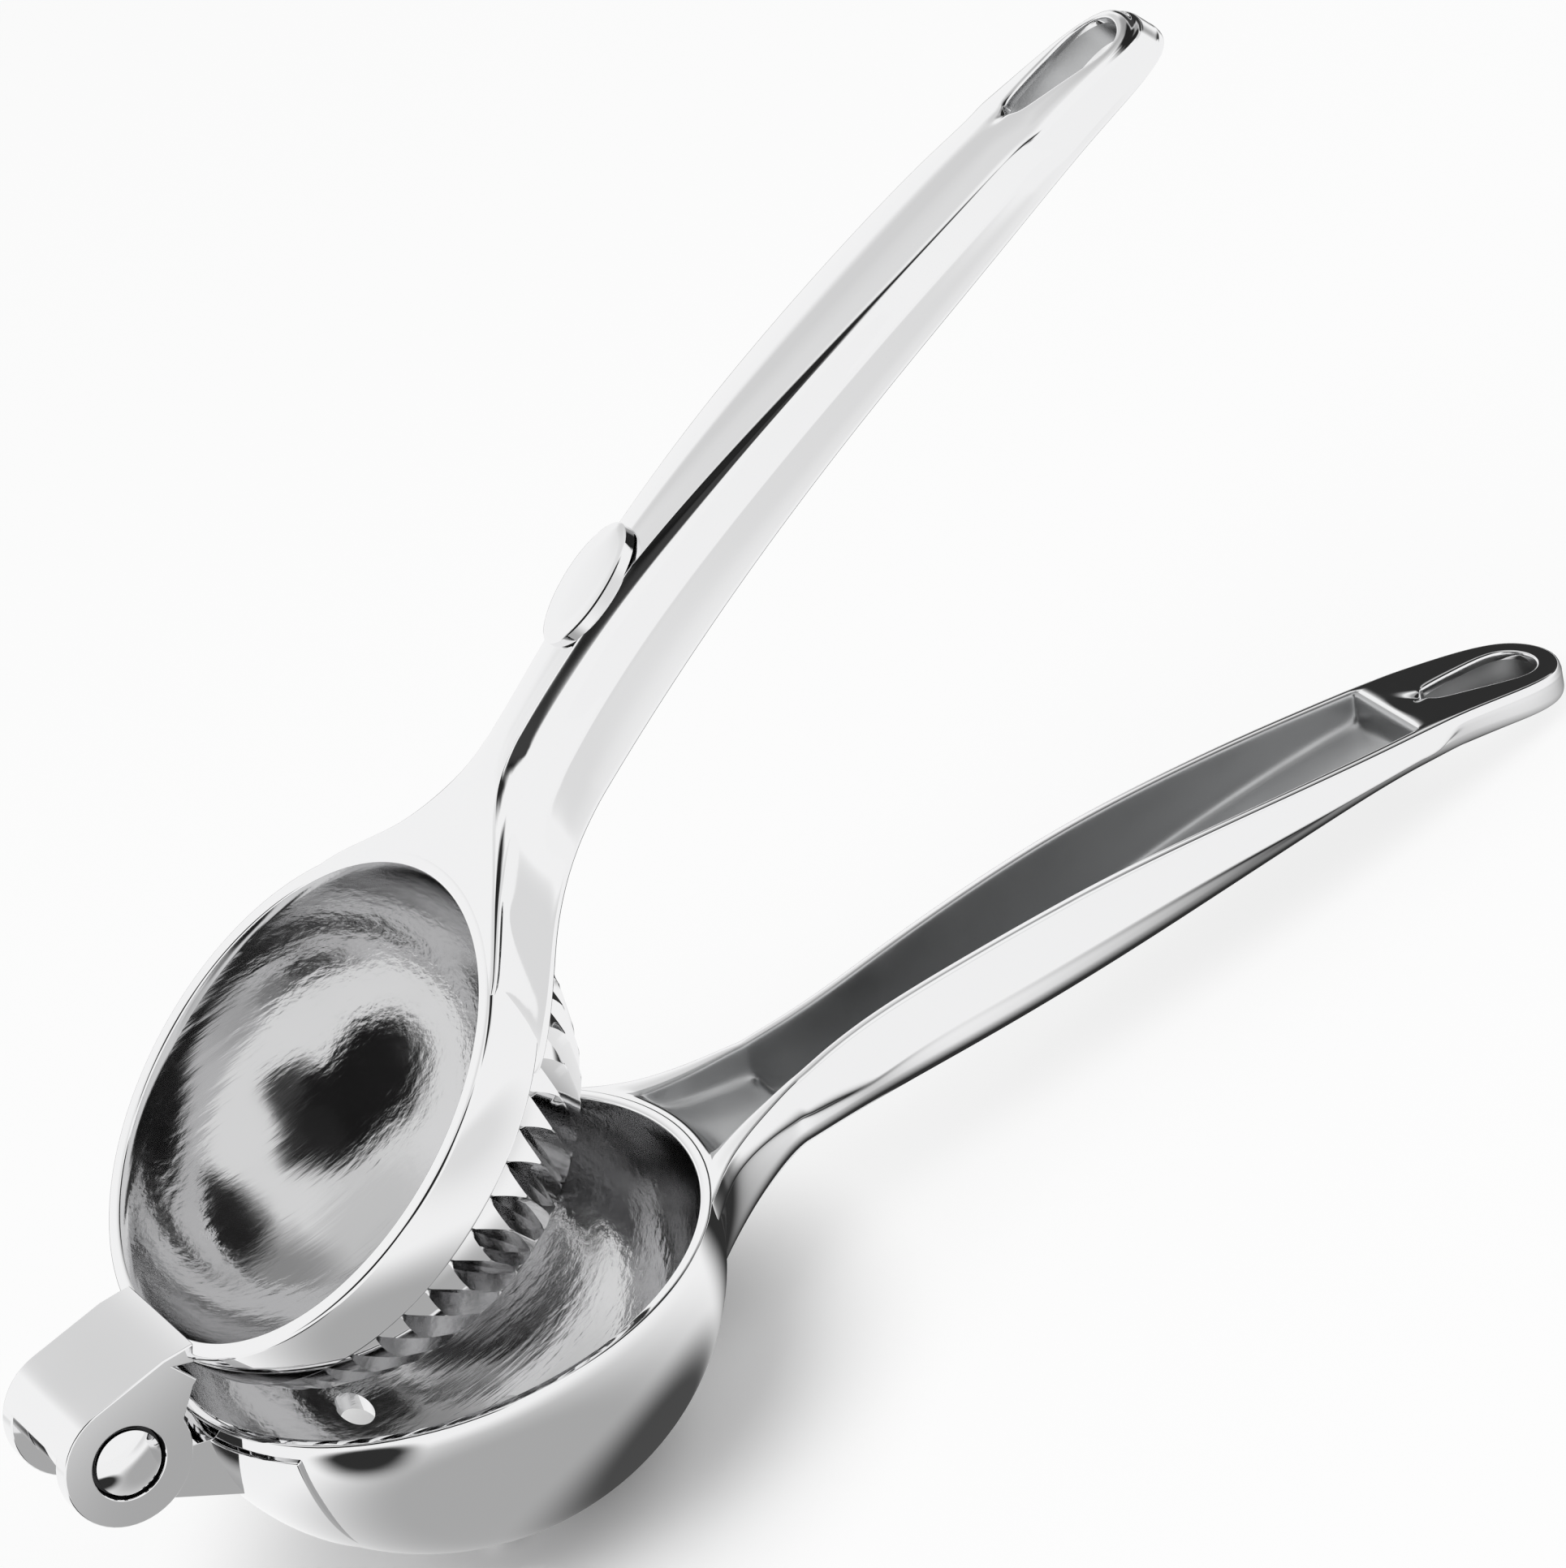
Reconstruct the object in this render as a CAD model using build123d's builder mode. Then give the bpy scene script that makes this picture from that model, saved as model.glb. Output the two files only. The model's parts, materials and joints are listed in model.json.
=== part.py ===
"""Hinged lemon squeezer: a bowl lever and a press lever joined by one riveted hinge.

Each lever is modelled in its own lever frame: the hinge pin lies along Y through the origin,
X runs from the pin to the handle's tip, and Z stands square to the bowl's rim.
At the end both levers are placed in the squeezer's own frame, standing on a table.
"""
from build123d import *
import os
from math import acos, asin, atan2, cos, degrees, hypot, radians, sin, tan

# ---- driving dimensions, in millimetres and degrees --------------------------------------

# the two levers
hinge_to_bowl = 48.0        # pin axis to bowl axis
lower_reach = 222.0         # pin axis to the lower handle's tip
upper_reach = 217.0         # pin axis to the upper handle's tip
rest_angle = 34.0           # how far the upper lever stands open
cast_wall = 2.0             # walls and floors of both handles

# bowl
bowl_bore_r = 35.0
bowl_wall = 1.6
rim_below_pin = 2.9
bowl_straight = 2.4         # straight wall under the rim, before the bowl rounds in
bowl_depth = 33.2           # rim to the lowest point inside
bowl_floor = 2.4
foot_grind = 0.9            # how much of the bowl's bottom is ground flat to stand on
drain_hole_d = 4.6
inner_drain_r = 10.5        # hole circles, measured square to the bowl's axis
outer_drain_r = 22.0
inner_drain_count = 6
outer_drain_count = 3

# press ring and cup
ring_clearance = 0.6        # between the press ring and the bowl's bore
ring_top = 1.4              # top of the ring above the pin axis
ring_height = 8.6
ring_flat = 2.1             # flat top face, before the steep bevel into the cup
bevel_width = 0.3
bevel_depth = 1.4
cup_depth = 27.0            # bevel to the lowest point inside the cup
cup_wall = 1.2

# fluted press dome
dome_step = 0.8             # the dome's edge is set in from the ring by this
dome_depth = 24.0
flute_count = 46
flute_lean = 31.0           # keel of a flute, from upright
flute_half_angle = 38.0     # half the V
flute_mouth = 6.0           # height of the V, well past the dome's surface

# hinge
pin_r = 3.0
pin_fit = 0.03              # radial, in the ears
pin_running = 0.06          # radial, in the lug
head_r = 4.35
head_recess = 1.5
head_crown = 1.1            # how far the domed head stands proud of the ear
head_gap = 0.12
ear_r = 8.7
ear_thickness = 2.8
ear_to_ring = 1.8           # crevice between an ear's tongue and the ring
ear_tongue_low = -2.0       # underside of the tongue
hood_width = 18.8
hood_web = 1.7
hood_end_angle = 118.0      # where the rolled web ends, counted from X over the top
hood_front_top = 3.8        # height of the hood's top where it meets the ring
hood_root = 2.6             # solid metal between the hood's pocket and the ring
washer_thickness = 0.5
washer_play = 0.04
washer_r = 6.2
lug_gap = 0.5               # hood web to lug boss
lug_top_dip = 35.0          # where the lug's top leaves the boss, in degrees below X
lug_root_top = -5.4
lug_root_low = -15.5

# handle ends
slot_length = 16.8
slot_wide_r = 4.2
slot_narrow_r = 2.0
lower_slot_edge = 3.2       # metal between the slot and the lower handle's tip
upper_slot_edge = 2.6
end_plate = 26.0            # solid end of each handle, before its channel starts
lower_tip_r = 7.6
upper_tip_r = 6.2
tip_turn = 60.0             # half the angle that a tip's arc turns through
rim_land = 2.3              # flat metal between the bowl's bore and the lower handle's channel
neck_solid = 17.0           # solid neck between the ring and the upper handle's channel
lower_root_turn = 33.0      # where a handle's sides leave the round wall, in degrees round its axis
upper_root_turn = 36.0
rib_width = 13.0            # rib that carries the lower handle down the bowl's side
root_dip = 0.4              # how far a handle's top lies below the rim or ring where it leaves it
neck_overlap = 1.3          # how far the upper neck's top curve starts inside the ring
lead_in = 1.0               # how far an outline runs straight where it meets a round end

# badge
badge_length = 17.4
badge_width = 9.4
badge_thickness = 2.0
badge_seat = 0.6            # how deep the badge sits in the handle
badge_x = 121.0
seat_gap = 0.05             # between a seated piece and the wall of its seat
handle_crest = 4.9          # top of the upper handle's arch, where the badge sits

# ---- derived sizes -----------------------------------------------------------------------

bowl_outer_r = bowl_bore_r + bowl_wall
rim_z = -rim_below_pin
bowl_round_z = rim_z - bowl_straight
bowl_inner_drop = bowl_depth - bowl_straight
bowl_outer_drop = bowl_inner_drop + bowl_floor

ring_r = bowl_bore_r - ring_clearance
ring_low = ring_top - ring_height
cup_r = ring_r - ring_flat - bevel_width
cup_top = ring_top - bevel_depth
dome_r = ring_r - dome_step

hood_half = hood_width / 2
ear_inner = hood_half - ear_thickness
lug_half = ear_inner - washer_thickness
hood_inner_r = ear_r - hood_web
lug_r = hood_inner_r - lug_gap
lug_bore_r = pin_r + pin_running

lower_neck_x = hinge_to_bowl + bowl_outer_r
upper_neck_x = hinge_to_bowl + ring_r
lower_span = lower_reach - lower_neck_x
upper_span = upper_reach - upper_neck_x
bowl_axis = Axis((hinge_to_bowl, 0, 0), (0, 0, 1))


def along(start, span, stations):
    """Points of a side or plan curve: each station is a share of the span and a height."""
    return [(start + share * span, value) for share, value in stations]


# side curves of the handles: share of the span from bowl to tip, and height in the lever frame
lower_top = along(lower_neck_x, lower_span, [
    (-0.03, rim_z - root_dip), (0.08, rim_z + root_dip), (0.28, 0.6), (0.47, 1.5), (0.66, -0.7), (0.85, -3.2),
    (1.0, -7.4)])
lower_bottom = along(lower_neck_x, lower_span, [
    (-0.03, -8.0), (0.08, -8.5), (0.13, -11.6), (0.18, -13.2), (0.36, -12.8), (0.60, -10.4), (0.75, -9.2),
    (0.88, -10.3), (1.0, -13.2)])
rib_bottom = along(lower_neck_x, lower_span, [
    (-0.055, -26.5), (-0.015, -22.4), (0.02, -19.0), (0.055, -16.2), (0.10, -14.1), (0.15, -13.2), (0.20, -12.6)])
upper_top = [
    (upper_neck_x - neck_overlap, ring_top - root_dip),
    *along(upper_neck_x, upper_span, [(0.10, 4.2)]),
    (badge_x, handle_crest),
    *along(upper_neck_x, upper_span, [(0.47, 2.2), (0.66, -2.6), (0.84, -9.0), (1.0, -16.4)])]
upper_bottom = along(upper_neck_x, upper_span, [
    (-0.08, -9.8), (0.15, -9.7), (0.40, -9.6), (0.60, -12.2), (0.78, -15.6), (1.0, -23.0)])

# half widths of the handles
lower_plan = along(lower_neck_x, lower_span, [
    (0.01, 13.6), (0.04, 10.9), (0.075, 8.8), (0.115, 7.1), (0.16, 6.0), (0.22, 6.2), (0.30, 7.2), (0.44, 8.4),
    (0.60, 9.5), (0.78, 9.2), (0.88, 8.3)])
upper_plan = along(upper_neck_x, upper_span, [
    (0.01, 13.6), (0.045, 9.9), (0.085, 7.0), (0.13, 5.3), (0.19, 4.9), (0.28, 5.4), (0.43, 7.1), (0.57, 7.9),
    (0.72, 8.7), (0.87, 7.3)])


def bowl_form(radius, top, drop, straight=0):
    """A round form on the bowl's axis: straight down from its top, then rounding in to its lowest point."""
    turn = top - straight
    with BuildPart() as form:
        with BuildSketch(Plane.XZ):
            with BuildLine():
                side = Spline((hinge_to_bowl + radius, turn),
                              (hinge_to_bowl + radius * cos(radians(45)), turn - drop * sin(radians(45))),
                              (hinge_to_bowl, turn - drop), tangents=[(0, -1), (-1, 0)])
                Polyline(side @ 1, (hinge_to_bowl, top), (hinge_to_bowl + radius, top))
                if straight:
                    Line((hinge_to_bowl + radius, top), side @ 0)
            make_face()
        revolve(axis=bowl_axis)
    return form.part


def handle_blank(top, bottom, plan, root_r, root_angle, reach, tip_r):
    """A solid handle: its side outline carried across its plan outline, which ends in a round tip."""
    root = Vector(hinge_to_bowl, 0) + Vector(root_r, 0).rotate(Axis.Z, root_angle)
    leave = Vector(0, -lead_in).rotate(Axis.Z, root_angle)
    tip = Vector(reach - tip_r, 0) + Vector(tip_r, 0).rotate(Axis.Z, tip_turn)
    arrive = Vector(0, -lead_in).rotate(Axis.Z, tip_turn)
    with BuildPart() as blank:
        with BuildSketch(Plane.XZ.offset(-root_r)):
            with BuildLine():
                upper_edge = Spline(*top)
                lower_edge = Spline(*bottom)
                Line(upper_edge @ 0, lower_edge @ 0)
                Line(upper_edge @ 1, lower_edge @ 1)
            make_face()
        extrude(amount=2 * root_r)
        with BuildSketch(Plane.XY.offset(-reach)):
            with BuildLine():
                edge = Spline(root, root + leave, *plan, tip - arrive, tip)
                mirror(edge, about=Plane.XZ)
                CenterArc((reach - tip_r, 0), tip_r, -tip_turn, 2 * tip_turn)
                Line((root.X, root.Y), (root.X, -root.Y))
            make_face()
        extrude(amount=2 * reach, mode=Mode.INTERSECT)
    return blank.part


def channel(floor, plan, side, start_r, end_x):
    """The hollow of a handle: past its floor (side +1 up, -1 down), inside its walls, outside start_r."""
    first_x, first_half = plan[0]
    with BuildPart() as hollow:
        with BuildSketch(Plane.XZ.offset(-hood_width)):
            with BuildLine():
                floor_edge = Spline(*[(x, z + side * cast_wall) for x, z in floor])
                mouth = side * ring_r
                Polyline(floor_edge @ 0, ((floor_edge @ 0).X, mouth), ((floor_edge @ 1).X, mouth),
                         floor_edge @ 1)
            make_face()
        extrude(amount=2 * hood_width)
        with BuildSketch(Plane.XY.offset(-lower_reach)):
            with BuildLine():
                edge = Spline((first_x - cast_wall, first_half), *[(x, half - cast_wall) for x, half in plan])
                mirror(edge, about=Plane.XZ)
                Line(edge @ 0, ((edge @ 0).X, -(edge @ 0).Y))
                Line(edge @ 1, ((edge @ 1).X, -(edge @ 1).Y))
            make_face()
            with Locations((end_x, 0)):
                Rectangle(end_x, 2 * hood_width, align=(Align.MAX, Align.CENTER), mode=Mode.INTERSECT)
            with Locations((hinge_to_bowl, 0)):
                Circle(start_r, mode=Mode.SUBTRACT)
        extrude(amount=2 * lower_reach, mode=Mode.INTERSECT)
    return hollow.part


def hanging_slot(end_x):
    """A teardrop slot through a handle's end, wide towards the tip."""
    with BuildPart() as slot:
        with BuildSketch(Plane.XY.offset(-lower_reach)):
            with Locations((end_x - slot_wide_r, 0)):
                Circle(slot_wide_r)
            with Locations((end_x - slot_length + slot_narrow_r, 0)):
                Circle(slot_narrow_r)
            make_hull()
        extrude(amount=2 * lower_reach)
    return slot.part


def touch_point(x, z, radius, turn):
    """Where a line from (x, z) touches a circle round the pin; turn +1 is its upper side, -1 its lower."""
    angle = atan2(z, x) + turn * acos(radius / hypot(x, z))
    return (radius * cos(angle), radius * sin(angle))


# ---- stance: the ground foot of the bowl and the lower handle's tip stand on the table ----

tip_x, tip_z = lower_bottom[-1]
stance = radians(8)
for _ in range(30):
    bowl_reach = hypot(bowl_outer_r * sin(stance), bowl_outer_drop * cos(stance))
    stance = (asin((bowl_reach - foot_grind) / hypot(tip_x - hinge_to_bowl, tip_z - bowl_round_z))
              + atan2(tip_z - bowl_round_z, tip_x - hinge_to_bowl))
foot_down = (sin(stance), 0, -cos(stance))
foot_distance = bowl_reach - foot_grind
table_height = tip_x * sin(stance) - tip_z * cos(stance)

# ---- lower lever: bowl, hinge lug and handle ---------------------------------------------

lower_handle = handle_blank(lower_top, lower_bottom, lower_plan, bowl_outer_r - bowl_wall / 2,
                            lower_root_turn, lower_reach, lower_tip_r)
lower_hollow = channel(lower_bottom, lower_plan, 1, bowl_bore_r + rim_land, lower_reach - end_plate)

with BuildPart() as lower_lever:
    add(bowl_form(bowl_outer_r, rim_z, bowl_outer_drop, bowl_straight))
    # hinge lug: a boss round the pin, carried by a web that deepens towards the bowl
    lug_root_x = hinge_to_bowl - bowl_bore_r + cast_wall
    lug_top = (lug_r * cos(radians(lug_top_dip)), -lug_r * sin(radians(lug_top_dip)))
    with BuildSketch(Plane.XZ):
        Circle(lug_r)
        with BuildLine():
            Polyline((0, 0), lug_top, (lug_root_x, lug_root_top), (lug_root_x, lug_root_low),
                     touch_point(lug_root_x, lug_root_low, lug_r, -1), (0, 0))
        make_face()
    extrude(amount=lug_half, both=True)
    add(lower_handle)
    # rib under the handle's root, which runs down into the bowl's side
    with BuildSketch(Plane.XZ):
        with BuildLine():
            rib_edge = Spline(*rib_bottom)
            rib_top = rim_z - root_dip - cast_wall
            Polyline(rib_edge @ 1, ((rib_edge @ 1).X, rib_top), ((rib_edge @ 0).X, rib_top), rib_edge @ 0)
        make_face()
    extrude(amount=rib_width / 2, both=True)
    # hollow of the bowl
    add(bowl_form(bowl_bore_r, rim_z + ring_height, bowl_inner_drop, bowl_straight + ring_height),
        mode=Mode.SUBTRACT)
    add(lower_hollow, mode=Mode.SUBTRACT)
    add(hanging_slot(lower_reach - lower_slot_edge), mode=Mode.SUBTRACT)
    # drain holes through the bottom
    for circle_r, count in ((inner_drain_r, inner_drain_count), (outer_drain_r, outer_drain_count)):
        with BuildSketch(Plane.XY.offset(rim_z - bowl_depth - bowl_floor)):
            with Locations((hinge_to_bowl, 0)):
                with PolarLocations(circle_r, count):
                    Circle(drain_hole_d / 2)
        extrude(amount=bowl_depth, mode=Mode.SUBTRACT)
    # hinge bore
    with BuildSketch(Plane.XZ):
        Circle(lug_bore_r)
    extrude(amount=hood_width, both=True, mode=Mode.SUBTRACT)
    # the foot is ground flat where the bowl stands
    foot_centre = Vector(hinge_to_bowl, 0, bowl_round_z) + Vector(*foot_down) * foot_distance
    with BuildSketch(Plane(origin=foot_centre, z_dir=foot_down)):
        Circle(bowl_bore_r)
    extrude(amount=2 * foot_grind, mode=Mode.SUBTRACT)

# ---- upper lever: hinge hood, press ring with its cup, neck and handle --------------------

upper_handle = handle_blank(upper_top, upper_bottom, upper_plan, ring_r - ring_flat / 2, upper_root_turn,
                            upper_reach, upper_tip_r)
upper_hollow = channel(upper_top, upper_plan, -1, ring_r + neck_solid, upper_reach - end_plate)
ear_front_x = hinge_to_bowl - ring_r * cos(asin(hood_half / ring_r)) - ear_to_ring
ring_front_x = hinge_to_bowl - ring_r + ring_flat

with BuildPart() as upper_lever:
    # hinge hood: two ears under a web that is rolled over the pin
    with BuildSketch(Plane.XZ):
        Circle(ear_r)
        with BuildLine():
            Polyline((0, 0), touch_point(ear_front_x, hood_front_top, ear_r, 1),
                     (ear_front_x, hood_front_top), (ear_front_x, ear_tongue_low),
                     (lug_r, ear_tongue_low - ear_to_ring / 2), (0, 0))
        make_face()
    extrude(amount=hood_half, both=True)
    rolled_end = Vector(2 * ear_r, 0).rotate(Axis.Z, hood_end_angle)
    with BuildSketch(Plane.XZ):
        with BuildLine():
            Polyline((0, 0), (rolled_end.X, rolled_end.Y),
                     (-2 * ear_r, 0), (-2 * ear_r, -2 * ear_r), (ear_front_x - hood_root, -2 * ear_r),
                     (ear_front_x - hood_root, hood_front_top - hood_web),
                     touch_point(ear_front_x - hood_root, hood_front_top - hood_web, hood_inner_r, 1), (0, 0))
        make_face()
        Circle(hood_inner_r)
    extrude(amount=ear_inner, both=True, mode=Mode.SUBTRACT)
    # the web runs on to the ring
    with BuildSketch(Plane.XZ):
        with BuildLine():
            Polyline((ear_front_x - hood_root, hood_front_top), (ear_front_x, hood_front_top),
                     (ring_front_x + bevel_width, ring_top), (ring_front_x + bevel_width, ear_tongue_low),
                     (ear_front_x - hood_root, ear_tongue_low), close=True)
        make_face()
    extrude(amount=ear_inner, both=True)
    with BuildSketch(Plane.XZ):
        with BuildLine():
            Polyline((ear_front_x - hood_root, hood_front_top), (ear_front_x, hood_front_top),
                     (ring_front_x + 2 * bevel_width, ring_top), (ring_front_x, ring_top - hood_web),
                     (ear_front_x - hood_root, hood_front_top - hood_web), close=True)
        make_face()
    extrude(amount=hood_half, both=True)
    # neck and handle, cut back to let the press dome in
    add(upper_handle)
    with BuildSketch(Plane.XY.offset(ring_low)):
        with Locations((hinge_to_bowl, 0)):
            Circle(dome_r + seat_gap)
    extrude(amount=-2 * ring_height, mode=Mode.SUBTRACT)
    add(upper_hollow, mode=Mode.SUBTRACT)
    add(hanging_slot(upper_reach - upper_slot_edge), mode=Mode.SUBTRACT)
    # press ring and the outside of its cup
    add(bowl_form(cup_r + cup_wall, cup_top, cup_depth + cup_wall))
    with BuildSketch(Plane.XY.offset(ring_low)):
        with Locations((hinge_to_bowl, 0)):
            Circle(ring_r)
    extrude(amount=ring_height)
    # inside of the cup, with its bevel
    add(bowl_form(cup_r, cup_top, cup_depth), mode=Mode.SUBTRACT)
    with BuildSketch(Plane.XZ):
        with BuildLine():
            Polyline((hinge_to_bowl, cup_top), (hinge_to_bowl + cup_r, cup_top),
                     (hinge_to_bowl + cup_r + bevel_width, ring_top),
                     (hinge_to_bowl + cup_r + bevel_width, ring_top + ring_height),
                     (hinge_to_bowl, ring_top + ring_height), close=True)
        make_face()
    revolve(axis=bowl_axis, mode=Mode.SUBTRACT)
    # pin holes through the ears, with recesses for the rivet's heads
    with BuildSketch(Plane.XZ):
        Circle(pin_r + pin_fit)
    extrude(amount=hood_width, both=True, mode=Mode.SUBTRACT)
    for face in (Plane.XZ.offset(hood_half), Plane.XZ.offset(-hood_half)):
        with BuildSketch(face):
            Circle(head_r + head_gap)
        extrude(amount=-head_recess if face.origin.Y < 0 else head_recess, mode=Mode.SUBTRACT)
    # seat of the badge
    with BuildSketch(Plane.XY.offset(handle_crest - badge_seat)):
        with Locations((badge_x, 0)):
            Ellipse(badge_length / 2, badge_width / 2)
    extrude(amount=badge_thickness, mode=Mode.SUBTRACT)

# ---- press dome: the fluted shell under the ring ------------------------------------------

# a flute is a straight V groove: pointed at the ring, deepest on the dome's shoulder, gone near the bottom
with BuildPart() as flute:
    keel = Plane(origin=(hinge_to_bowl + dome_r, 0, ring_low), x_dir=(0, 1, 0),
                 z_dir=(-sin(radians(flute_lean)), 0, -cos(radians(flute_lean))))
    with BuildSketch(keel):
        with BuildLine():
            half_mouth = flute_mouth * tan(radians(flute_half_angle))
            Polyline((0, 0), (half_mouth, flute_mouth), (-half_mouth, flute_mouth), close=True)
        make_face()
    extrude(amount=dome_depth)

with BuildPart() as press_dome:
    add(bowl_form(dome_r, ring_low, dome_depth))
    add([flute.part.rotate(bowl_axis, turn * 360 / flute_count) for turn in range(flute_count)],
        mode=Mode.SUBTRACT)
    add(bowl_form(cup_r + cup_wall, cup_top, cup_depth + cup_wall), mode=Mode.SUBTRACT)

# ---- small pieces -------------------------------------------------------------------------

with BuildPart() as hinge_rivet:
    with BuildSketch(Plane.XY):
        with BuildLine():
            shoulder = hood_half - head_recess
            brim = hood_half - head_gap
            crown_r = (head_r ** 2 + (head_crown + head_gap) ** 2) / (2 * (head_crown + head_gap))
            Polyline((0, 0), (pin_r, 0), (pin_r, shoulder), (head_r, shoulder), (head_r, brim))
            RadiusArc((head_r, brim), (0, hood_half + head_crown), -crown_r)
            Line((0, hood_half + head_crown), (0, 0))
        make_face()
        mirror(about=Plane.XZ)
    revolve(axis=Axis.Y)

with BuildPart() as badge_plate:
    with BuildSketch(Plane.XY.offset(handle_crest - badge_seat)):
        with Locations((badge_x, 0)):
            Ellipse(badge_length / 2 - seat_gap, badge_width / 2 - seat_gap)
    extrude(amount=badge_thickness)

with BuildPart() as near_washer:
    with BuildSketch(Plane.XZ.offset(ear_inner - washer_thickness + washer_play)):
        Circle(washer_r)
        Circle(pin_r + pin_fit, mode=Mode.SUBTRACT)
    extrude(amount=washer_thickness - washer_play)

with BuildPart() as far_washer:
    add(near_washer.part.mirror(Plane.XZ))

# ---- placing: the lower lever stands on its foot, the upper lever is open by rest_angle ---

stand = Location((0, 0, table_height)) * Location((0, 0, 0), (0, degrees(stance), 0))
opened = stand * Location((0, 0, 0), (0, -rest_angle, 0))
placed = {
    "lower_lever": lower_lever.part.moved(stand),
    "upper_lever": upper_lever.part.moved(opened),
    "press_dome": press_dome.part.moved(opened),
    "badge_plate": badge_plate.part.moved(opened),
    "hinge_rivet": hinge_rivet.part.moved(opened),
    "near_washer": near_washer.part.moved(opened),
    "far_washer": far_washer.part.moved(opened),
}
whole = Compound(children=[piece.moved(Location()) for piece in placed.values()]).bounding_box()
centred = Location((-(whole.min.X + whole.max.X) / 2, 0, 0))

os.makedirs("parts", exist_ok=True)
for name, piece in placed.items():
    part = piece.moved(centred)
    part.label = name
    export_step(part, f"parts/{name}.step")
print(f"pin at x {centred.position.X:.3f}, z {table_height:.3f}; stance {degrees(stance):.3f}")
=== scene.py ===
"""Hinged lemon squeezer, dressed: two polished castings on one rivet, a fluted press dome and an oval badge plate.

Sizes are in millimetres in each lever's own frame: the hinge pin lies along Y through the origin, X runs to the
handle's tip and Z stands square to the bowl's rim. Every finished piece is then placed in the squeezer's frame.
"""
import json
from math import asin, atan2, cos, degrees, hypot, pi, radians, sin, sqrt, tan, tau

import bmesh
import bpy
from bpy.props import FloatProperty, FloatVectorProperty, IntProperty, PointerProperty
from mathutils import Matrix, Vector


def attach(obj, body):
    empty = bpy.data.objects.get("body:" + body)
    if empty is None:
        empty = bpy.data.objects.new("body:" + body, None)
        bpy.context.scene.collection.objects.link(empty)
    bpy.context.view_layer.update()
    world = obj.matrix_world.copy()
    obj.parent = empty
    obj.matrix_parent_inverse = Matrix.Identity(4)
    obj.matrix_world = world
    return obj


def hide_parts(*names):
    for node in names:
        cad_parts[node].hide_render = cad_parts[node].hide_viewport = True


bl_info = {
    "name": "Hinged Lemon Squeezer",
    "version": (1, 0, 0),
    "blender": (4, 5, 0),
    "location": "3D View > Sidebar > Squeezer",
    "description": "Builds the polished pieces of a hinged lemon squeezer round its packed frame",
    "category": "Object",
}

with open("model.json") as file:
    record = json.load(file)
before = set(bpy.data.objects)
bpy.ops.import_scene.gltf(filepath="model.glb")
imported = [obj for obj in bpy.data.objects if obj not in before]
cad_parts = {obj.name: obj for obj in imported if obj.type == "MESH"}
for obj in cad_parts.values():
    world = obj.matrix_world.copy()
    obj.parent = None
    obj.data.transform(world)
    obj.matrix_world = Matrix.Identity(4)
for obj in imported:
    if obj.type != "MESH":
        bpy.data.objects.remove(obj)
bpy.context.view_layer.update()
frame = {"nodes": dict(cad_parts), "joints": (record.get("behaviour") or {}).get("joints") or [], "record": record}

MM = 0.001
HINGE = Vector(frame["joints"][0]["pos_m"])
MOUNTS = {mount["name"]: mount for mount in frame["record"]["mounts"]}


def lever_frame(slot_mount):
    """From a lever's own millimetres to the squeezer's metres; the lever's turn is that of its hanging slot."""
    axis = Vector(MOUNTS[slot_mount]["axis"])
    turn = Matrix.Rotation(atan2(axis.x, axis.z), 4, "Y")
    return Matrix.Translation(HINGE) @ turn @ Matrix.Scale(MM, 4)


LOWER = lever_frame("lower_hanging_slot")
UPPER = lever_frame("upper_hanging_slot")


# ---- what a user may change ----------------------------------------------------------------

def length(name, description, millimetres):
    return FloatProperty(name=name, description=description, default=millimetres * MM, min=0.0, unit="LENGTH",
                         subtype="DISTANCE", precision=4)


def tint(name, description, grey):
    return FloatVectorProperty(name=name, description=description, default=grey, size=3, min=0.0, max=1.0,
                               subtype="COLOR")


def share(name, description, default):
    return FloatProperty(name=name, description=description, default=default, min=0.0, max=1.0, subtype="FACTOR")


class SqueezerSizes(bpy.types.PropertyGroup):
    hinge_to_bowl: length("Hinge to Bowl", "From the pin to the bowl's axis", 48.0)
    bowl_bore: length("Bowl Bore", "Radius of the bowl inside", 35.0)
    bowl_wall: length("Bowl Wall", "Thickness of the bowl's side", 1.59)
    rim_below_pin: length("Rim below Pin", "How far the bowl's rim lies below the pin", 2.9)
    bowl_straight: length("Bowl Straight", "Straight wall under the rim", 2.4)
    bowl_depth: length("Bowl Depth", "Rim to the lowest point inside", 33.2)
    bowl_floor: length("Bowl Floor", "Thickness at the lowest point", 2.4)
    drain_hole: length("Drain Hole", "Diameter of a drain hole", 4.6)
    ring_radius: length("Ring Radius", "Outside radius of the press ring", 34.4)
    ring_top: length("Ring Top", "Top of the press ring above the pin", 1.4)
    ring_height: length("Ring Height", "Height of the press ring's outer wall", 8.6)
    cup_radius: length("Cup Radius", "Radius of the open cup", 32.0)
    cup_depth: length("Cup Depth", "Depth of the open cup", 27.0)
    dome_radius: length("Dome Radius", "Radius of the fluted dome at its seam", 33.6)
    dome_depth: length("Dome Depth", "Depth of the fluted dome under the ring", 24.0)
    flute_count: IntProperty(name="Flutes", description="Flutes round the press dome", default=46, min=12, max=60)
    ear_radius: length("Ear Radius", "Radius of the hinge ears", 8.68)
    hood_width: length("Hood Width", "Width over both hinge ears", 18.8)
    head_radius: length("Rivet Head", "Radius of the rivet's heads", 4.35)
    head_crown: length("Rivet Crown", "How far a rivet head stands proud", 1.1)
    edge_round: length("Edge Rounding", "Rounding of the polished edges", 0.35)


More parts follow.
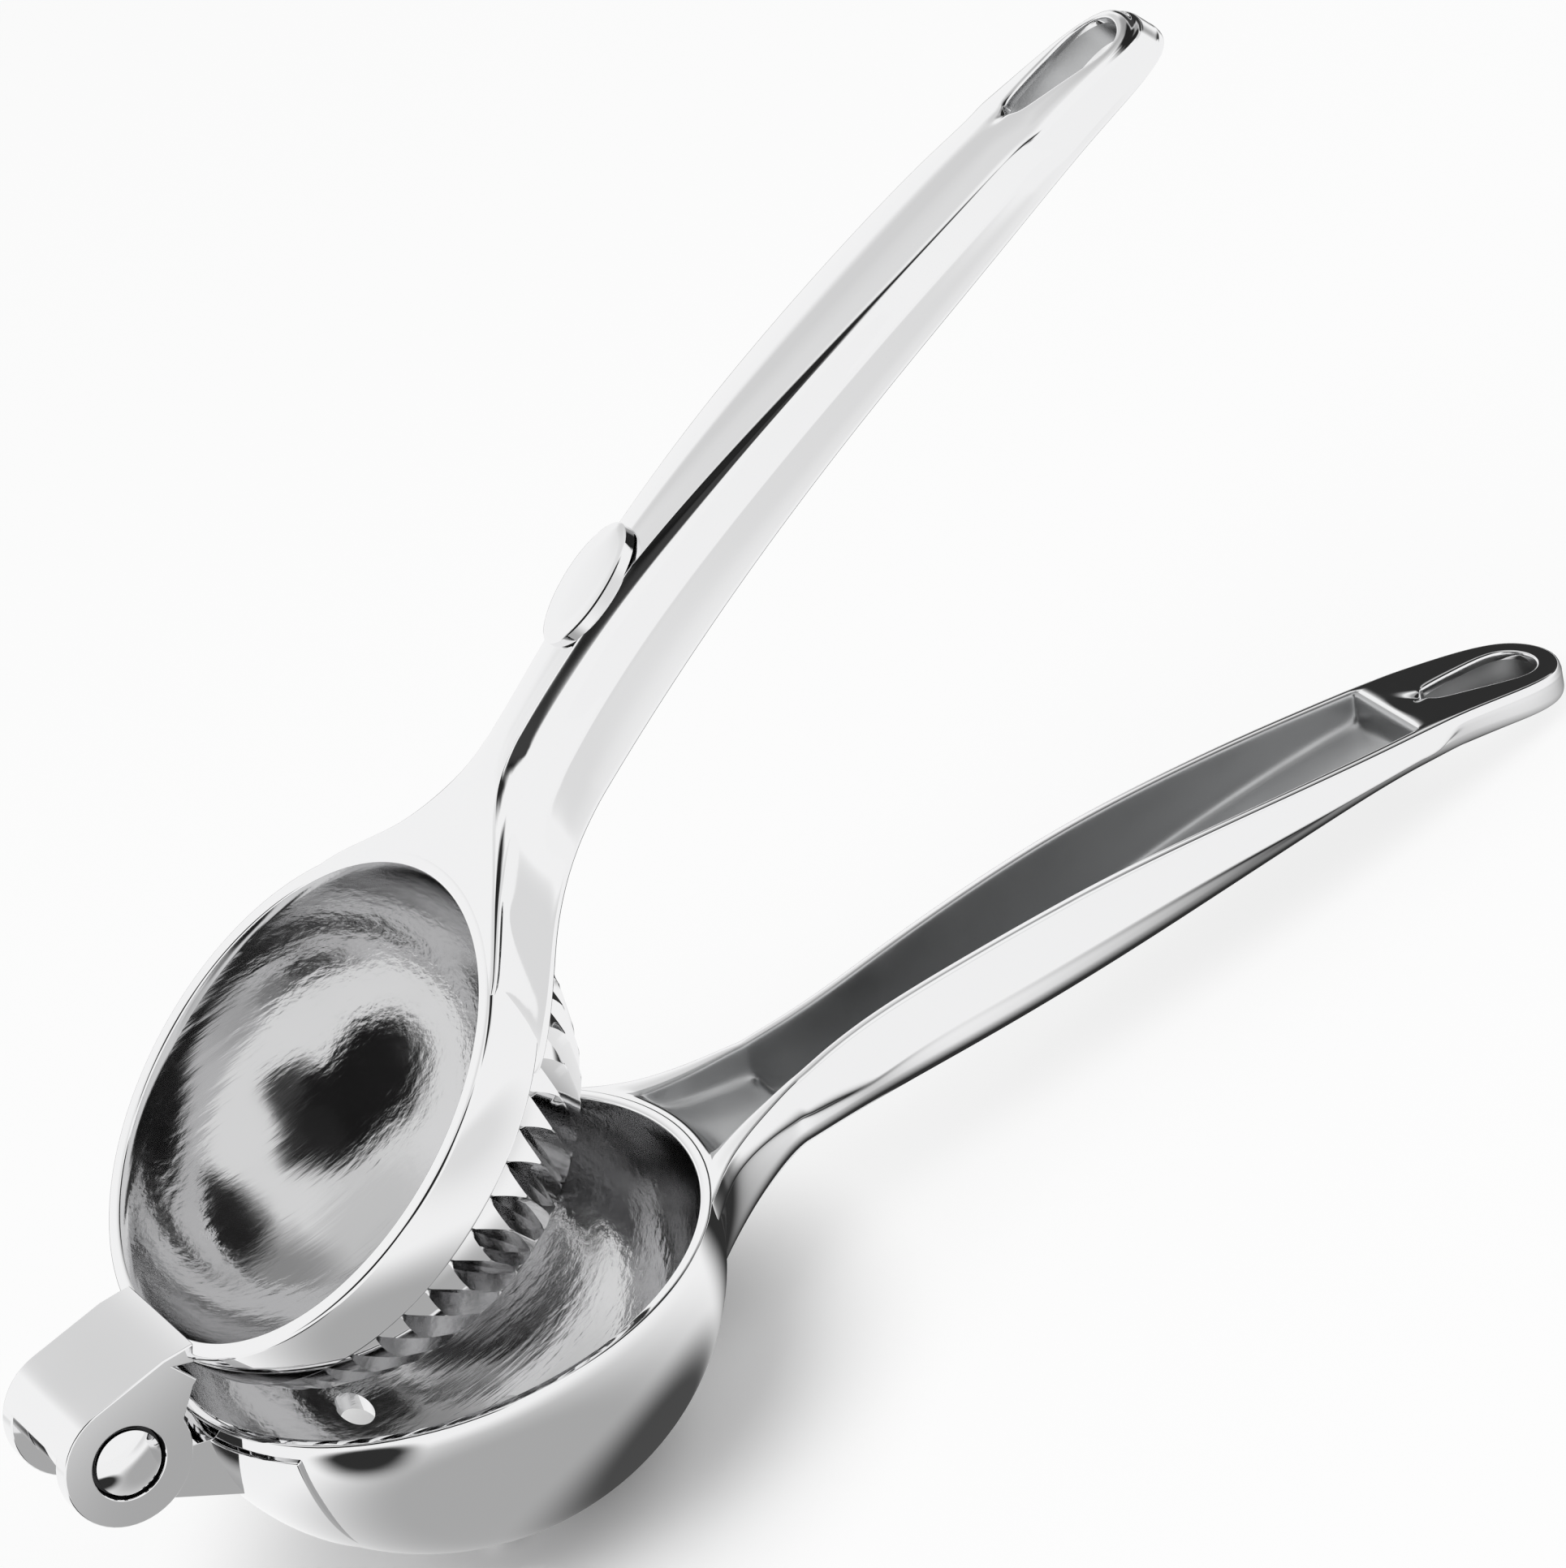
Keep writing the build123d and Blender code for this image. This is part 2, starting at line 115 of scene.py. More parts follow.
class SqueezerFinishes(bpy.types.PropertyGroup):
    polished: tint("Polished Metal", "Colour of the polished casting", (0.90, 0.90, 0.905))
    polished_roughness: share("Polished Roughness", "Roughness of the polished casting", 0.045)
    cast: tint("Bare Casting", "Colour of the unpolished inside of the handles", (0.56, 0.565, 0.57))
    cast_roughness: share("Casting Roughness", "Roughness of the unpolished inside of the handles", 0.36)
    # painted shade: the rivet recess colour is a near black that stands for the shadow in the gap round the rivet's
    # heads
    recess: tint("Rivet Recess", "Colour of the shadowed recess round the rivet's heads", (0.07, 0.07, 0.072))
    brushed: tint("Brushed Bowl", "Colour of the brushed cup and bowl", (0.66, 0.66, 0.665))
    brushed_roughness: share("Brushed Roughness", "Roughness of the brushed cup and bowl", 0.12)
    floor: tint("Floor", "Colour of the floor", (0.9, 0.9, 0.9))


def sizes():
    """The sizes in millimetres, by name."""
    group = bpy.context.scene.squeezer_sizes
    return {name: getattr(group, name) if name == "flute_count" else getattr(group, name) / MM
            for name in SqueezerSizes.__annotations__}


# ---- finishes ------------------------------------------------------------------------------

def metal(name, colour, roughness, spread, wave, grain, streak=None):
    """A metal finish: roughness that wanders by spread, a slow wave and a fine grain, both heights in millimetres."""
    found = bpy.data.materials.get(name)
    if found:
        return found
    made = bpy.data.materials.new(name)
    made.use_nodes = True
    nodes, link = made.node_tree.nodes, made.node_tree.links.new
    shader = nodes["Principled BSDF"]
    shader.inputs["Base Color"].default_value = (*colour, 1)
    shader.inputs["Metallic"].default_value = 1.0
    place = nodes.new("ShaderNodeTexCoord")
    patches = nodes.new("ShaderNodeTexNoise")
    patches.inputs["Scale"].default_value = 140
    patches.inputs["Detail"].default_value = 3
    worn = nodes.new("ShaderNodeMapRange")
    worn.inputs["From Min"].default_value, worn.inputs["From Max"].default_value = 0.3, 0.7
    worn.inputs["To Min"].default_value, worn.inputs["To Max"].default_value = roughness - spread, roughness + spread
    link(place.outputs["Object"], patches.inputs["Vector"])
    link(patches.outputs["Fac"], worn.inputs["Value"])
    link(worn.outputs["Result"], shader.inputs["Roughness"])
    slow = nodes.new("ShaderNodeTexNoise")
    slow.inputs["Scale"].default_value = 55
    slow.inputs["Detail"].default_value = 1
    fine = nodes.new("ShaderNodeTexNoise")
    fine.inputs["Scale"].default_value = 1600
    fine.inputs["Detail"].default_value = 4
    link(place.outputs["Object"], slow.inputs["Vector"])
    if streak:
        stretch = nodes.new("ShaderNodeMapping")
        stretch.inputs["Rotation"].default_value = streak["turn"]
        stretch.inputs["Scale"].default_value = streak["scale"]
        link(place.outputs["Object"], stretch.inputs["Vector"])
        link(stretch.outputs["Vector"], fine.inputs["Vector"])
    else:
        link(place.outputs["Object"], fine.inputs["Vector"])
    waved = nodes.new("ShaderNodeBump")
    waved.inputs["Distance"].default_value = wave * MM
    grained = nodes.new("ShaderNodeBump")
    grained.inputs["Distance"].default_value = grain * MM
    link(slow.outputs["Fac"], waved.inputs["Height"])
    link(fine.outputs["Fac"], grained.inputs["Height"])
    link(waved.outputs["Normal"], grained.inputs["Normal"])
    link(grained.outputs["Normal"], shader.inputs["Normal"])
    return made


def polished_metal():
    looks = bpy.context.scene.squeezer_finishes
    return metal("polished_casting", looks.polished, looks.polished_roughness, 0.015, 0.05, 0.0004)


def bare_casting():
    looks = bpy.context.scene.squeezer_finishes
    return metal("bare_casting", looks.cast, looks.cast_roughness, 0.05, 0.10, 0.010)


# painted shade: the recess round the rivet's heads is coloured near black to stand for the shadow in its gap
def recess_painted_shade():
    looks = bpy.context.scene.squeezer_finishes
    return metal("rivet_recess", looks.recess, looks.cast_roughness, 0.05, 0.10, 0.010)


def brushed_metal():
    looks = bpy.context.scene.squeezer_finishes
    return metal("brushed_bowl", looks.brushed, looks.brushed_roughness, 0.04, 0.22, 0.060,
                 {"turn": (0, radians(-20), radians(35)), "scale": (0.03, 0.6, 0.6)})


# ---- shaping helpers -----------------------------------------------------------------------

def chain(bm, points):
    """A line of edges through points of a lever's side plane."""
    corners = [bm.verts.new((x, 0, z)) for x, z in points]
    for start, end in zip(corners, corners[1:]):
        bm.edges.new((start, end))
    return corners


def round_off(bm, corners, radius, segments=4):
    """Rounds corners of a line of edges."""
    bmesh.ops.bevel(bm, geom=corners, offset=radius, segments=segments, profile=0.5, affect="VERTICES",
                    material=-1)


def bowl_curve(bm, radius, top, drop, first=0.0, steps=24, axis_x=0.0):
    """A quarter of an oval on the bowl's axis, from its side at the angle first down to its lowest point."""
    start = bm.verts.new((radius * cos(radians(first)), 0, -radius * sin(radians(first))))
    known = set(bm.verts)
    spun = bmesh.ops.spin(bm, geom=[start], cent=(0, 0, 0), axis=(0, 1, 0), angle=radians(90 - first), steps=steps)
    curve = [start] + [v for v in bm.verts if v not in known]
    end = next(v for v in spun["geom_last"] if isinstance(v, bmesh.types.BMVert))
    bmesh.ops.scale(bm, vec=(1, 1, drop / radius), verts=curve)
    bmesh.ops.translate(bm, vec=(axis_x, 0, top), verts=curve)
    return start, end


def turn_round(bm, axis_x, steps):
    """Carries an outline round the bowl's axis and closes it at its poles."""
    bmesh.ops.spin(bm, geom=bm.verts[:] + bm.edges[:], cent=(axis_x, 0, 0), axis=(0, 0, 1), angle=tau, steps=steps,
                   use_merge=True)
    bmesh.ops.remove_doubles(bm, verts=bm.verts, dist=0.002)
    bmesh.ops.recalc_face_normals(bm, faces=bm.faces)


def new_object(name, bm, place):
    """A mesh object from a bmesh in a lever's millimetres, with its place in its mesh."""
    bmesh.ops.transform(bm, matrix=place, verts=bm.verts)
    mesh = bpy.data.meshes.new(name)
    bm.to_mesh(mesh)
    bm.free()
    made = bpy.data.objects.new(name, mesh)
    bpy.context.scene.collection.objects.link(made)
    return made


def finish_piece(piece, body, finishes, replaces=(), sharp=None):
    """Smooth shading, finishes, and the body and nodes that the piece stands for."""
    for finish in finishes:
        piece.data.materials.append(finish)
    piece.data.shade_smooth()
    if sharp is not None:
        piece.data.set_sharp_from_angle(angle=radians(sharp))
    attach(piece, body)
    if replaces:
        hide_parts(*replaces)
    return piece


def soften(piece, width, angle=30, segments=3):
    """Rounds a prism's sharp edges."""
    bevel = piece.modifiers.new("rounded edges", "BEVEL")
    bevel.width = width * MM
    bevel.segments = segments
    bevel.limit_method = "ANGLE"
    bevel.angle_limit = radians(angle)
    bevel.harden_normals = True


def cut(piece, cutter):
    """Takes one mesh out of another."""
    tool = piece.modifiers.new("cut", "BOOLEAN")
    tool.operation = "DIFFERENCE"
    tool.object = cutter
    tool.solver = "EXACT"
    seen = bpy.context.evaluated_depsgraph_get()
    after = bpy.data.meshes.new_from_object(piece.evaluated_get(seen))
    piece.modifiers.clear()
    before = piece.data
    piece.data = after
    bpy.data.meshes.remove(before)
    before = cutter.data
    bpy.data.objects.remove(cutter)
    bpy.data.meshes.remove(before)


def through(stations, x):
    """Height at x of a smooth curve through the stations."""
    last = len(stations) - 1
    if x <= stations[0][0]:
        return stations[0][1]
    if x >= stations[last][0]:
        return stations[last][1]
    k = next(i for i in range(last) if x <= stations[i + 1][0])
    (x0, z0), (x1, z1) = stations[k], stations[k + 1]
    before, after = stations[max(k - 1, 0)], stations[min(k + 2, last)]
    leave, arrive = (z1 - before[1]) / (x1 - before[0]), (after[1] - z0) / (after[0] - x0)
    span, t = x1 - x0, (x - x0) / (x1 - x0)
    return ((2 * t ** 3 - 3 * t ** 2 + 1) * z0 + (t ** 3 - 2 * t ** 2 + t) * span * leave
            + (3 * t ** 2 - 2 * t ** 3) * z1 + (t ** 3 - t ** 2) * span * arrive)


# ---- handles -------------------------------------------------------------------------------

# side curves: x and height in the lever's frame
LOWER_OPEN = [(60.0, -3.0), (84.6, -2.95), (95.6, -2.3), (109.0, -0.7), (123.0, 0.6), (149.0, 1.5), (175.0, -0.5),
              (188.0, -1.9), (201.0, -3.4), (211.0, -5.2), (222.0, -7.6)]
LOWER_BACK = [(100.0, -14.1), (112.0, -13.5), (134.0, -12.8), (150.0, -11.8), (167.0, -10.4), (188.0, -9.4),
              (205.5, -10.4), (214.0, -11.6), (222.0, -13.0)]
LOWER_FLOOR = [(88.0, -6.6), (97.0, -6.9), (101.0, -10.9), (112.0, -11.2), (134.0, -10.6), (150.0, -9.7),
               (167.0, -8.4), (188.0, -7.3), (196.0, -7.2)]
LOWER_HALF = [(100.0, 7.45), (104.5, 6.65), (109.0, 6.3), (114.8, 6.3), (125.8, 7.2), (145.0, 8.5), (167.0, 9.5),
              (180.0, 9.6), (191.8, 9.2), (205.5, 8.35), (214.4, 7.7), (218.2, 6.6)]
UPPER_OPEN = [(70.0, -8.3), (84.0, -8.6), (95.0, -9.2), (105.0, -9.7), (136.0, -9.7), (150.0, -10.7),
              (163.0, -12.2), (187.0, -15.7), (200.0, -18.6), (217.0, -23.0)]
UPPER_BACK = [(60.0, 1.41), (82.5, 1.42), (85.0, 1.75), (90.0, 3.1), (96.0, 4.2), (108.0, 4.8), (121.0, 4.9),
              (133.0, 3.9), (146.0, 2.2), (160.0, -0.4), (171.0, -2.8), (183.0, -5.6), (195.5, -9.1), (206.0, -12.5),
              (217.0, -16.6)]
UPPER_HALF = [(98.0, 6.5), (101.0, 6.05), (105.0, 5.7), (111.0, 5.6), (120.0, 5.9), (140.0, 7.3), (159.0, 8.0), (179.3, 8.6),
              (190.0, 8.3), (199.5, 7.3), (210.8, 6.3), (213.9, 5.4)]
UPPER_EDGE = [(98.0, 4.75), (102.0, 4.4), (108.0, 4.6), (120.0, 5.2), (140.0, 6.5), (159.0, 7.2), (179.3, 7.5), (190.0, 7.0),
              (199.5, 6.5), (210.8, 6.0), (213.9, 5.2)]


BACK_LAST = 9       # the last column of a section that belongs to the back when the root is closed
INNER_WALL = 15     # the first column inside the channel


class Handle:
    """One handle's shape. side is +1 where its channel opens upwards and -1 where it opens downwards."""

    def __init__(self, side, wall_r, wall_top, wall_drop, open_z, back_z, floor_z, half, edge, crown, corner, lip,
                 slot, tip, neck, body, plate_x):
        self.side = side
        self.wall_r, self.wall_top, self.wall_drop = wall_r, wall_top, wall_drop
        self.open_z, self.back_z, self.floor_z, self.half, self.edge = open_z, back_z, floor_z, half, edge
        self.crown, self.corner, self.lip = crown, corner, lip
        self.slot, self.tip = slot, tip
        self.neck, self.body, self.plate_x = neck, body, plate_x


def wall_x(handle, axis_x, y, z, off):
    """Where the round wall, moved out by off, stands at y and z."""
    radius = handle.wall_r + off
    if handle.wall_drop and z < handle.wall_top:
        fall = min((handle.wall_top - z) / (handle.wall_drop + off), 0.999)
        radius *= sqrt(1 - fall * fall)
    return axis_x + sqrt(max(radius * radius - y * y, 1.0))


def section(side, half, edge, open_z, back_z, floor_z, lip, crown, corner, step_z=None, step_in=0.0, bulge=0.12,
            at_slot=False, shelf=0.0):
    """Distances from the middle and heights of one half section, from the back's middle round to the channel's."""
    edge_z = back_z + side * crown
    shoulder = edge - corner
    low = edge_z + side * corner
    if step_z is None:
        step_z = low + (open_z - low) * 0.5
    under = min(half - step_in, half)

    def slope(z):
        return edge + (under - edge) * (z - low) / (step_z - low)

    marks = [(0, back_z), (0.36 * edge, back_z + side * crown * 0.13), (0.7 * edge, back_z + side * crown * 0.5),
             (shoulder, back_z + side * crown * (shoulder / edge) ** 2),
             (edge - 0.29 * corner, edge_z + side * 0.29 * corner), (edge, low)]
    if shelf:
        set_in, start = edge - shelf, low + side * 0.35
        marks += [(set_in + (half - 0.15 - set_in) * part ** 1.4, start + (open_z - side * 0.9 - start) * part)
                  for part in (0, 0.16, 0.36, 0.56, 0.76, 0.92)]
    else:
        for part in (0.25, 0.5, 0.75):
            z = low + (step_z - side * 0.4 - low) * part
            marks.append((slope(z), z))
        marks += [(under, step_z - side * 0.4), (half - (0.25 if step_in else 0.0), step_z + side * 0.3),
                  (half + bulge, (step_z + open_z) / 2)]
    marks += [(half, open_z - side * 0.9), (half - 0.05, open_z - side * 0.25), (half - 0.3, open_z)]
    inner = half - lip
    if at_slot:
        marks[0] = (0, back_z + side * 0.55)
        marks[1] = (0.3, back_z + side * 0.03)
        marks += [(half - 0.8, open_z), (0.62 * half, open_z), (0.42 * half, open_z), (0.24 * half, open_z),
                  (0.3, open_z - side * 0.02), (0, open_z - side * 0.55)]
    elif floor_z is None:
        marks += [(inner + 0.25, open_z), (inner, open_z), (inner - 0.25, open_z), (inner - 1.1, open_z),
                  (0.45 * inner, open_z), (0, open_z)]
    else:
        rise = open_z - floor_z
        marks += [(inner + 0.25, open_z), (inner, open_z - side * min(0.4, abs(rise) * 0.5)),
                  (inner - 0.25, floor_z + side * min(1.2, abs(rise) * 0.4)),
                  (inner - 1.1, floor_z + side * 0.1), (0.45 * inner, floor_z), (0, floor_z)]
    return marks


def build_handle(handle, axis_x):
    """Half a handle as a grid whose rows are its sections, mirrored, with the root's two ends marked for closing."""
    rows = []
    for off, half, edge, floor_z, open_z, back_z, step_z, step_in, corner, crown, lip, shelf in handle.neck:
        marks = section(handle.side, half, edge, open_z, back_z, floor_z, lip, crown, corner, step_z, step_in,
                        shelf=shelf)
        rows.append([(wall_x(handle, axis_x, y, z, off), y, z) for y, z in marks])
    for x, open_floor, step_z, step_in in handle.body:
        floor_z = open_floor if open_floor is None or open_floor < 99 else through(handle.floor_z, x)
        marks = section(handle.side, through(handle.half, x), through(handle.edge, x), through(handle.open_z, x),
                        through(handle.back_z, x), floor_z, handle.lip, handle.crown, through(handle.corner, x),
                        step_z, step_in)
        rows.append([(x, y, z) for y, z in marks])
    for inner, outer in slot_spokes(handle):
        way = (outer - inner).normalized()
        reach = (outer - inner).length
        marks = section(handle.side, reach, reach * handle.slot["edge"], 0, -1, None, handle.lip, handle.crown, 0.01,
                        at_slot=True)
        rows.append(slot_row(handle, inner, way, reach, marks))
    columns = len(rows[0])
    bm = bmesh.new()
    root = bm.verts.layers.int.new("root")
    bmesh.ops.create_grid(bm, x_segments=columns - 1, y_segments=len(rows) - 1, size=1.0)
    ordered = sorted(bm.verts, key=lambda v: (round(v.co.y, 5), round(v.co.x, 5)))
    place = {vert: divmod(k, columns) for k, vert in enumerate(ordered)}
    hollow = [mark[3] is not None for mark in handle.neck] + [mark[1] is not None for mark in handle.body]
    for face in bm.faces:
        row, column = min(place[v][0] for v in face.verts), min(place[v][1] for v in face.verts)
        inside = row + 1 < len(hollow) and (hollow[row] or hollow[row + 1]) and column >= INNER_WALL
        face.material_index = 1 if inside else 0
    ends = [[ordered[k] for k in span] for span in (range(BACK_LAST + 1), range(BACK_LAST + 1, columns))]
    for vert, (row, column) in place.items():
        vert.co = rows[row][column]
    for k, span in enumerate(ends):
        for vert in span:
            vert[root] = k + 1
    bmesh.ops.mirror(bm, geom=bm.verts[:] + bm.edges[:] + bm.faces[:], axis="Y", merge_dist=0.0005)
    bmesh.ops.remove_doubles(bm, verts=bm.verts, dist=0.0008)
    return bm


def slot_row(handle, inner, way, reach, marks):
    """A row that runs from the slot's edge to the handle's outline."""
    side = handle.side
    edge = reach * handle.slot["edge"]
    row = []
    count = len(marks)
    for k, (y, _) in enumerate(marks):
        spot = inner + way * y
        top, back = through(handle.open_z, spot.x), through(handle.back_z, spot.x)
        half = max(through(handle.half, min(spot.x, handle.half[-1][0])), 0.1)
        fall = side * handle.crown * min((spot.y / half) ** 2, 1.0)
        corner = min(through(handle.corner, spot.x), 0.3 * reach)
        edge_z = back + side * handle.crown
        low = edge_z + side * corner
        if k == 0:
            z = back + fall + side * 0.55
        elif k in (1, 2):
            z = back + fall + side * 0.03
        elif k == 3:
            spot = inner + way * (edge - corner)
            z = back + side * handle.crown * 0.9
        elif k == 4:
            spot = inner + way * (edge - 0.29 * corner)
            z = edge_z + side * 0.29 * corner
        elif k == 5:
            spot = inner + way * edge
            z = low
        elif k < 10:
            part = (k - 5) / 5
            spot = inner + way * (edge + (reach - edge) * part)
            z = low + (top - side * 0.9 - low) * part * 0.8
        elif k == 10:
            spot = inner + way * reach
            z = low + (top - side * 0.9 - low) * 0.82
        elif k == 11:
            spot = inner + way * (reach + 0.05)
            z = low + (top - side * 0.9 - low) * 0.9
        elif k == 12:
            z = top - side * 0.9
        elif k == 13:
            z = top - side * 0.25
        elif k == count - 1:
            z = top - side * 0.55
        else:
            z = top
        row.append((spot.x, spot.y, z))
    return row


def slot_spokes(handle):
    """Pairs of points on the slot's edge and on the handle's outline, from the slot's narrow end round to the tip."""
    slot, tip = handle.slot, handle.tip
    lean = degrees(asin((slot["wide"] - slot["narrow"]) / (slot["wide_x"] - slot["narrow_x"])))

    def on(centre, radius, angle):
        return Vector((centre + radius * cos(radians(angle)), radius * sin(radians(angle))))

    edge = [on(slot["narrow_x"], slot["narrow"], angle) for angle in (180, 140, 90 + lean)]
    far = on(slot["wide_x"], slot["wide"], 90 + lean)
    edge += [(edge[-1] + far) / 2, far] + [on(slot["wide_x"], slot["wide"], angle) for angle in (68, 42, 20, 0)]
    start = slot["narrow_x"] - slot["narrow"]
    outline = [Vector((x, through(handle.half, x))) for x in
               (start - 0.6, start + 1.2, start + 3.4, start + 7.6, start + 12.2)]
    outline += [on(tip["centre"], tip["radius"], angle) for angle in (60, 38, 18, 0)]
    return list(zip(edge, outline))


def close_handle(bm, handle, axis_x):
    """Bridges the slot's two rims, and the root's back to its open side."""
    root = bm.verts.layers.int["root"]
    rims = [edge for edge in bm.edges if edge.is_boundary]
    slot = [edge for edge in rims if not any(v[root] for v in edge.verts)]
    for face in bmesh.ops.bridge_loops(bm, edges=slot)["faces"]:
        face.material_index = 1
    ends = [edge for edge in rims if edge.verts[0][root] and edge.verts[0][root] == edge.verts[1][root]]
    cap = bmesh.ops.bridge_loops(bm, edges=ends)["faces"]
    rungs = {edge for face in cap for edge in face.edges if edge.verts[0][root] != edge.verts[1][root]}
    added = bmesh.ops.subdivide_edges(bm, edges=list(rungs), cuts=5, use_grid_fill=True)["geom_inner"]
    for vert in (v for v in added if isinstance(v, bmesh.types.BMVert)):
        vert.co.x = wall_x(handle, axis_x, vert.co.y, vert.co.z, handle.neck[0][0])
    bmesh.ops.recalc_face_normals(bm, faces=bm.faces)


def smooth_form(piece, levels):
    rounded = piece.modifiers.new("rounded form", "SUBSURF")
    rounded.levels = rounded.render_levels = levels


LOWER_NECK = [
    # off, half, edge, floor, open, back, step z, step in, corner, crown, lip, shelf
    (-0.9, 21.0, 11.5, None, -3.0, -31.0, -7.0, 4.5, 3.0, 0.8, 7.0, 0),
    (-0.1, 20.0, 10.8, None, -3.0, -30.0, -7.0, 4.5, 3.0, 0.8, 7.0, 0),
    (0.2, 19.3, 9.9, None, -3.0, -28.8, -7.0, 4.9, 3.0, 0.8, 7.0, 0),
    (0.9, 17.4, 8.4, None, -3.0, -27.0, -6.9, 5.0, 3.0, 0.8, 7.4, 0),
    (1.45, 16.1, 7.6, -3.6, -2.98, -25.6, -6.8, 5.0, 3.0, 0.8, 6.5, 0),
    (2.0, 15.2, 7.1, -6.0, -2.95, -24.6, -6.7, 4.9, 3.0, 0.8, 5.7, 0),
    (3.6, 13.0, 6.2, -6.6, -2.85, -22.4, -6.6, 4.4, 3.0, 0.8, 4.3, 0),
    (6.8, 10.8, 5.5, -6.8, -2.6, -19.0, -6.8, 3.6, 2.8, 0.8, 3.2, 0),
    (10.3, 9.2, 5.1, -7.0, -2.3, -16.5, -7.2, 3.0, 2.6, 0.8, 2.4, 0),
    (13.2, 8.1, 4.9, -6.9, -2.0, -14.9, -7.7, 2.4, 2.4, 0.8, 1.9, 0),
]
LOWER_BODY = [
    (99.0, -7.3, -7.9, 2.1), (99.9, -10.7, -8.1, 1.8), (104.5, -11.2, -8.5, 1.1), (109.0, 99, -8.6, 0.4), (114.0, 99, -7.5, 0.05),
    (121.0, 99, -6.5, 0), (132.0, 99, -6.3, 0), (147.0, 99, -5.6, 0), (162.0, 99, -5.2, 0), (177.0, 99, -5.6, 0),
    (188.0, 99, -6.0, 0), (193.8, 99, -6.2, 0), (195.3, -6.9, -6.3, 0), (195.8, -3.6, -6.4, 0),
    (196.3, None, -6.5, 0), (198.6, None, -6.6, 0)]
UPPER_NECK = [
    (-0.7, 27.6, 24.6, None, -8.3, 1.41, -2.0, 0, 0.8, 0.02, 1.6, 1.6),
    (-0.1, 27.0, 24.0, None, -8.3, 1.41, -2.0, 0, 0.8, 0.02, 1.6, 1.6),
    (0.5, 24.0, 22.2, None, -8.35, 1.42, -2.0, 0, 0.9, 0.02, 1.6, 1.5),
    (1.3, 20.3, 18.2, None, -8.4, 1.45, -2.0, 0, 1.0, 0.04, 1.6, 1.2),
    (2.4, 17.0, 15.1, None, -8.5, 1.55, -2.1, 0, 1.1, 0.08, 1.6, 0.8),
    (3.6, 14.8, 13.0, None, -8.5, 1.75, -2.1, 0, 1.2, 0.1, 1.6, 0.15),
    (5.6, 12.3, 10.6, None, -8.6, 2.4, -2.3, 0, 1.4, 0.4, 1.6, 0.05),
    (8.6, 9.7, 7.9, None, -8.8, 3.3, -2.5, 0, 1.6, 0.8, 1.6, 0.02),
    (12.6, 7.4, 5.5, None, -9.2, 4.05, -2.6, 0, 1.9, 1.2, 1.6, 0),
]
UPPER_CORNER = [(98.0, 1.9), (110.0, 2.2), (122.0, 2.0), (136.0, 1.4), (152.0, 1.0), (175.0, 0.7), (200.0, 0.6)]
UPPER_BODY = [
    (98.6, None, -2.7, 0), (99.6, None, -2.7, 0), (100.1, 3.0, -2.7, 0), (100.8, 99, -2.7, 0), (105.0, 99, -2.7, 0),
    (111.0, 99, -2.7, 0), (120.0, 99, -2.8, 0), (132.0, 99, -3.3, 0), (146.0, 99, -4.6, 0), (160.0, 99, -6.6, 0),
    (174.0, 99, -8.8, 0), (185.0, 99, -11.0, 0), (189.6, 99, -12.0, 0), (190.6, -12.0, -12.2, 0),
    (191.2, None, -12.4, 0), (194.6, None, -13.0, 0)]


# ---- operators -----------------------------------------------------------------------------

